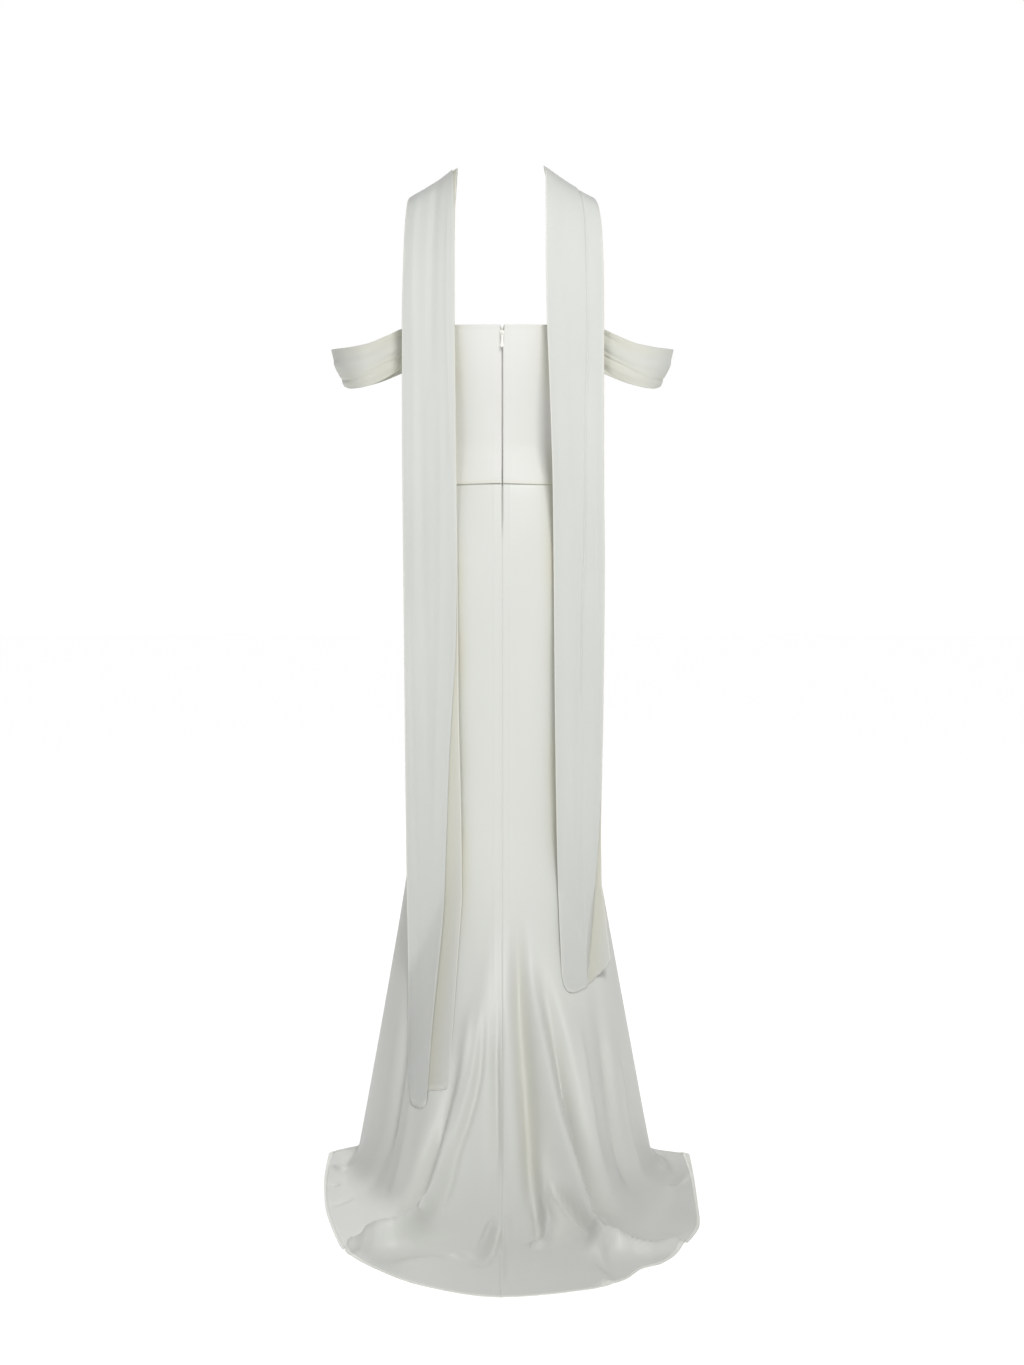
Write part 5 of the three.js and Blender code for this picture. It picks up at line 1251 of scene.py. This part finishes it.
class GOWN_OT_studio(bpy.types.Operator):
    """Set the camera, the pale paper sweep and the soft lights"""

    bl_idname = "gown.studio"
    bl_label = "Studio"

    def execute(self, context):
        scene = context.scene
        data = bpy.data.cameras.new("Studio camera")
        data.sensor_fit = "AUTO"
        data.sensor_width = CAMERA["sensor"]
        data.lens = CAMERA["lens"]
        data.clip_end = 60
        camera = bpy.data.objects.new("Studio camera", data)
        camera.location = (CAMERA["x"], CAMERA["y"], CAMERA["height"] - WAIST_HEIGHT / 1000)
        camera.rotation_euler = (math.radians(90 - CAMERA["tilt"]), 0, math.radians(180))
        scene.collection.objects.link(camera)
        scene.camera = camera
        self.add_sweep()
        for softbox in SOFTBOXES:
            self.add_light(*softbox)
        self.light_world(scene)
        scene.view_settings.view_transform = "Standard"
        return {"FINISHED"}

    def add_sweep(self):
        """The paper floor, wide enough to meet the pale backdrop at the horizon."""
        bm = bmesh.new()
        bmesh.ops.create_circle(bm, cap_ends=True, segments=96, radius=14)
        bmesh.ops.translate(bm, verts=bm.verts, vec=(0, 0, -WAIST_HEIGHT / 1000))
        sweep = object_from(bm, "paper_sweep", studio_paper("#8f8f8e"))
        sweep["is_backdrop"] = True

    def add_light(self, name, place, size, power):
        data = bpy.data.lights.new(name, "AREA")
        data.shape = "RECTANGLE"
        data.size, data.size_y = size
        data.energy = power
        light = bpy.data.objects.new(name, data)
        light.location = place
        aim = LIGHT_AIM - Vector(place)
        light.rotation_euler = aim.to_track_quat("-Z", "Y").to_euler()
        bpy.context.scene.collection.objects.link(light)

    def light_world(self, scene):
        """Even light from all round, and a white backdrop where the camera sees past the dress."""
        world = bpy.data.worlds.new("Studio light")
        world.use_nodes = True
        tree = world.node_tree
        tree.nodes.clear()
        room = add_node(tree, "ShaderNodeBackground", {"Color": "#fdfdff", "Strength": 0.25})
        backdrop = add_node(tree, "ShaderNodeBackground", {"Color": "#ffffff", "Strength": 1.0})
        path = add_node(tree, "ShaderNodeLightPath", {})
        both = add_node(
            tree, "ShaderNodeMixShader", {},
            [(0, path.outputs["Is Camera Ray"]), (1, room.outputs["Background"]), (2, backdrop.outputs["Background"])],
        )
        add_node(tree, "ShaderNodeOutputWorld", {}, [("Surface", both.outputs["Shader"])])
        scene.world = world


class GOWN_PT_panel(bpy.types.Panel):
    """Sizes, colours and pieces of the gown"""

    bl_idname = "GOWN_PT_panel"
    bl_label = "Mermaid gown"
    bl_space_type = "VIEW_3D"
    bl_region_type = "UI"
    bl_category = "Gown"

    def draw(self, context):
        layout = self.layout
        for group in (context.scene.gown_sizes, context.scene.gown_colours):
            box = layout.box()
            for name in group.__annotations__:
                box.prop(group, name)
        for operator in OPERATORS:
            layout.operator(operator.bl_idname)


OPERATORS = (
    GOWN_OT_studio, GOWN_OT_skirt, GOWN_OT_bodice, GOWN_OT_scarves, GOWN_OT_bands, GOWN_OT_zip, GOWN_OT_stitching,
)
CLASSES = (GownSizes, GownColours, *OPERATORS, GOWN_PT_panel)


def register():
    for item in CLASSES:
        bpy.utils.register_class(item)
    bpy.types.Scene.gown_sizes = bpy.props.PointerProperty(type=GownSizes)
    bpy.types.Scene.gown_colours = bpy.props.PointerProperty(type=GownColours)


def unregister():
    del bpy.types.Scene.gown_colours
    del bpy.types.Scene.gown_sizes
    for item in reversed(CLASSES):
        bpy.utils.unregister_class(item)


def main():
    """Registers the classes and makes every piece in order."""
    register()
    bpy.ops.gown.studio()
    bpy.ops.gown.skirt()
    bpy.ops.gown.bodice()
    bpy.ops.gown.scarves()
    bpy.ops.gown.bands()
    bpy.ops.gown.zip()
    bpy.ops.gown.stitching()
    bpy.context.view_layer.update()
    boxes = {"cad": CAD_BOX, "visual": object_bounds()}
    {name: [list(corner) for corner in box] for name, box in boxes.items()}


if __name__ == "__main__":
    main()
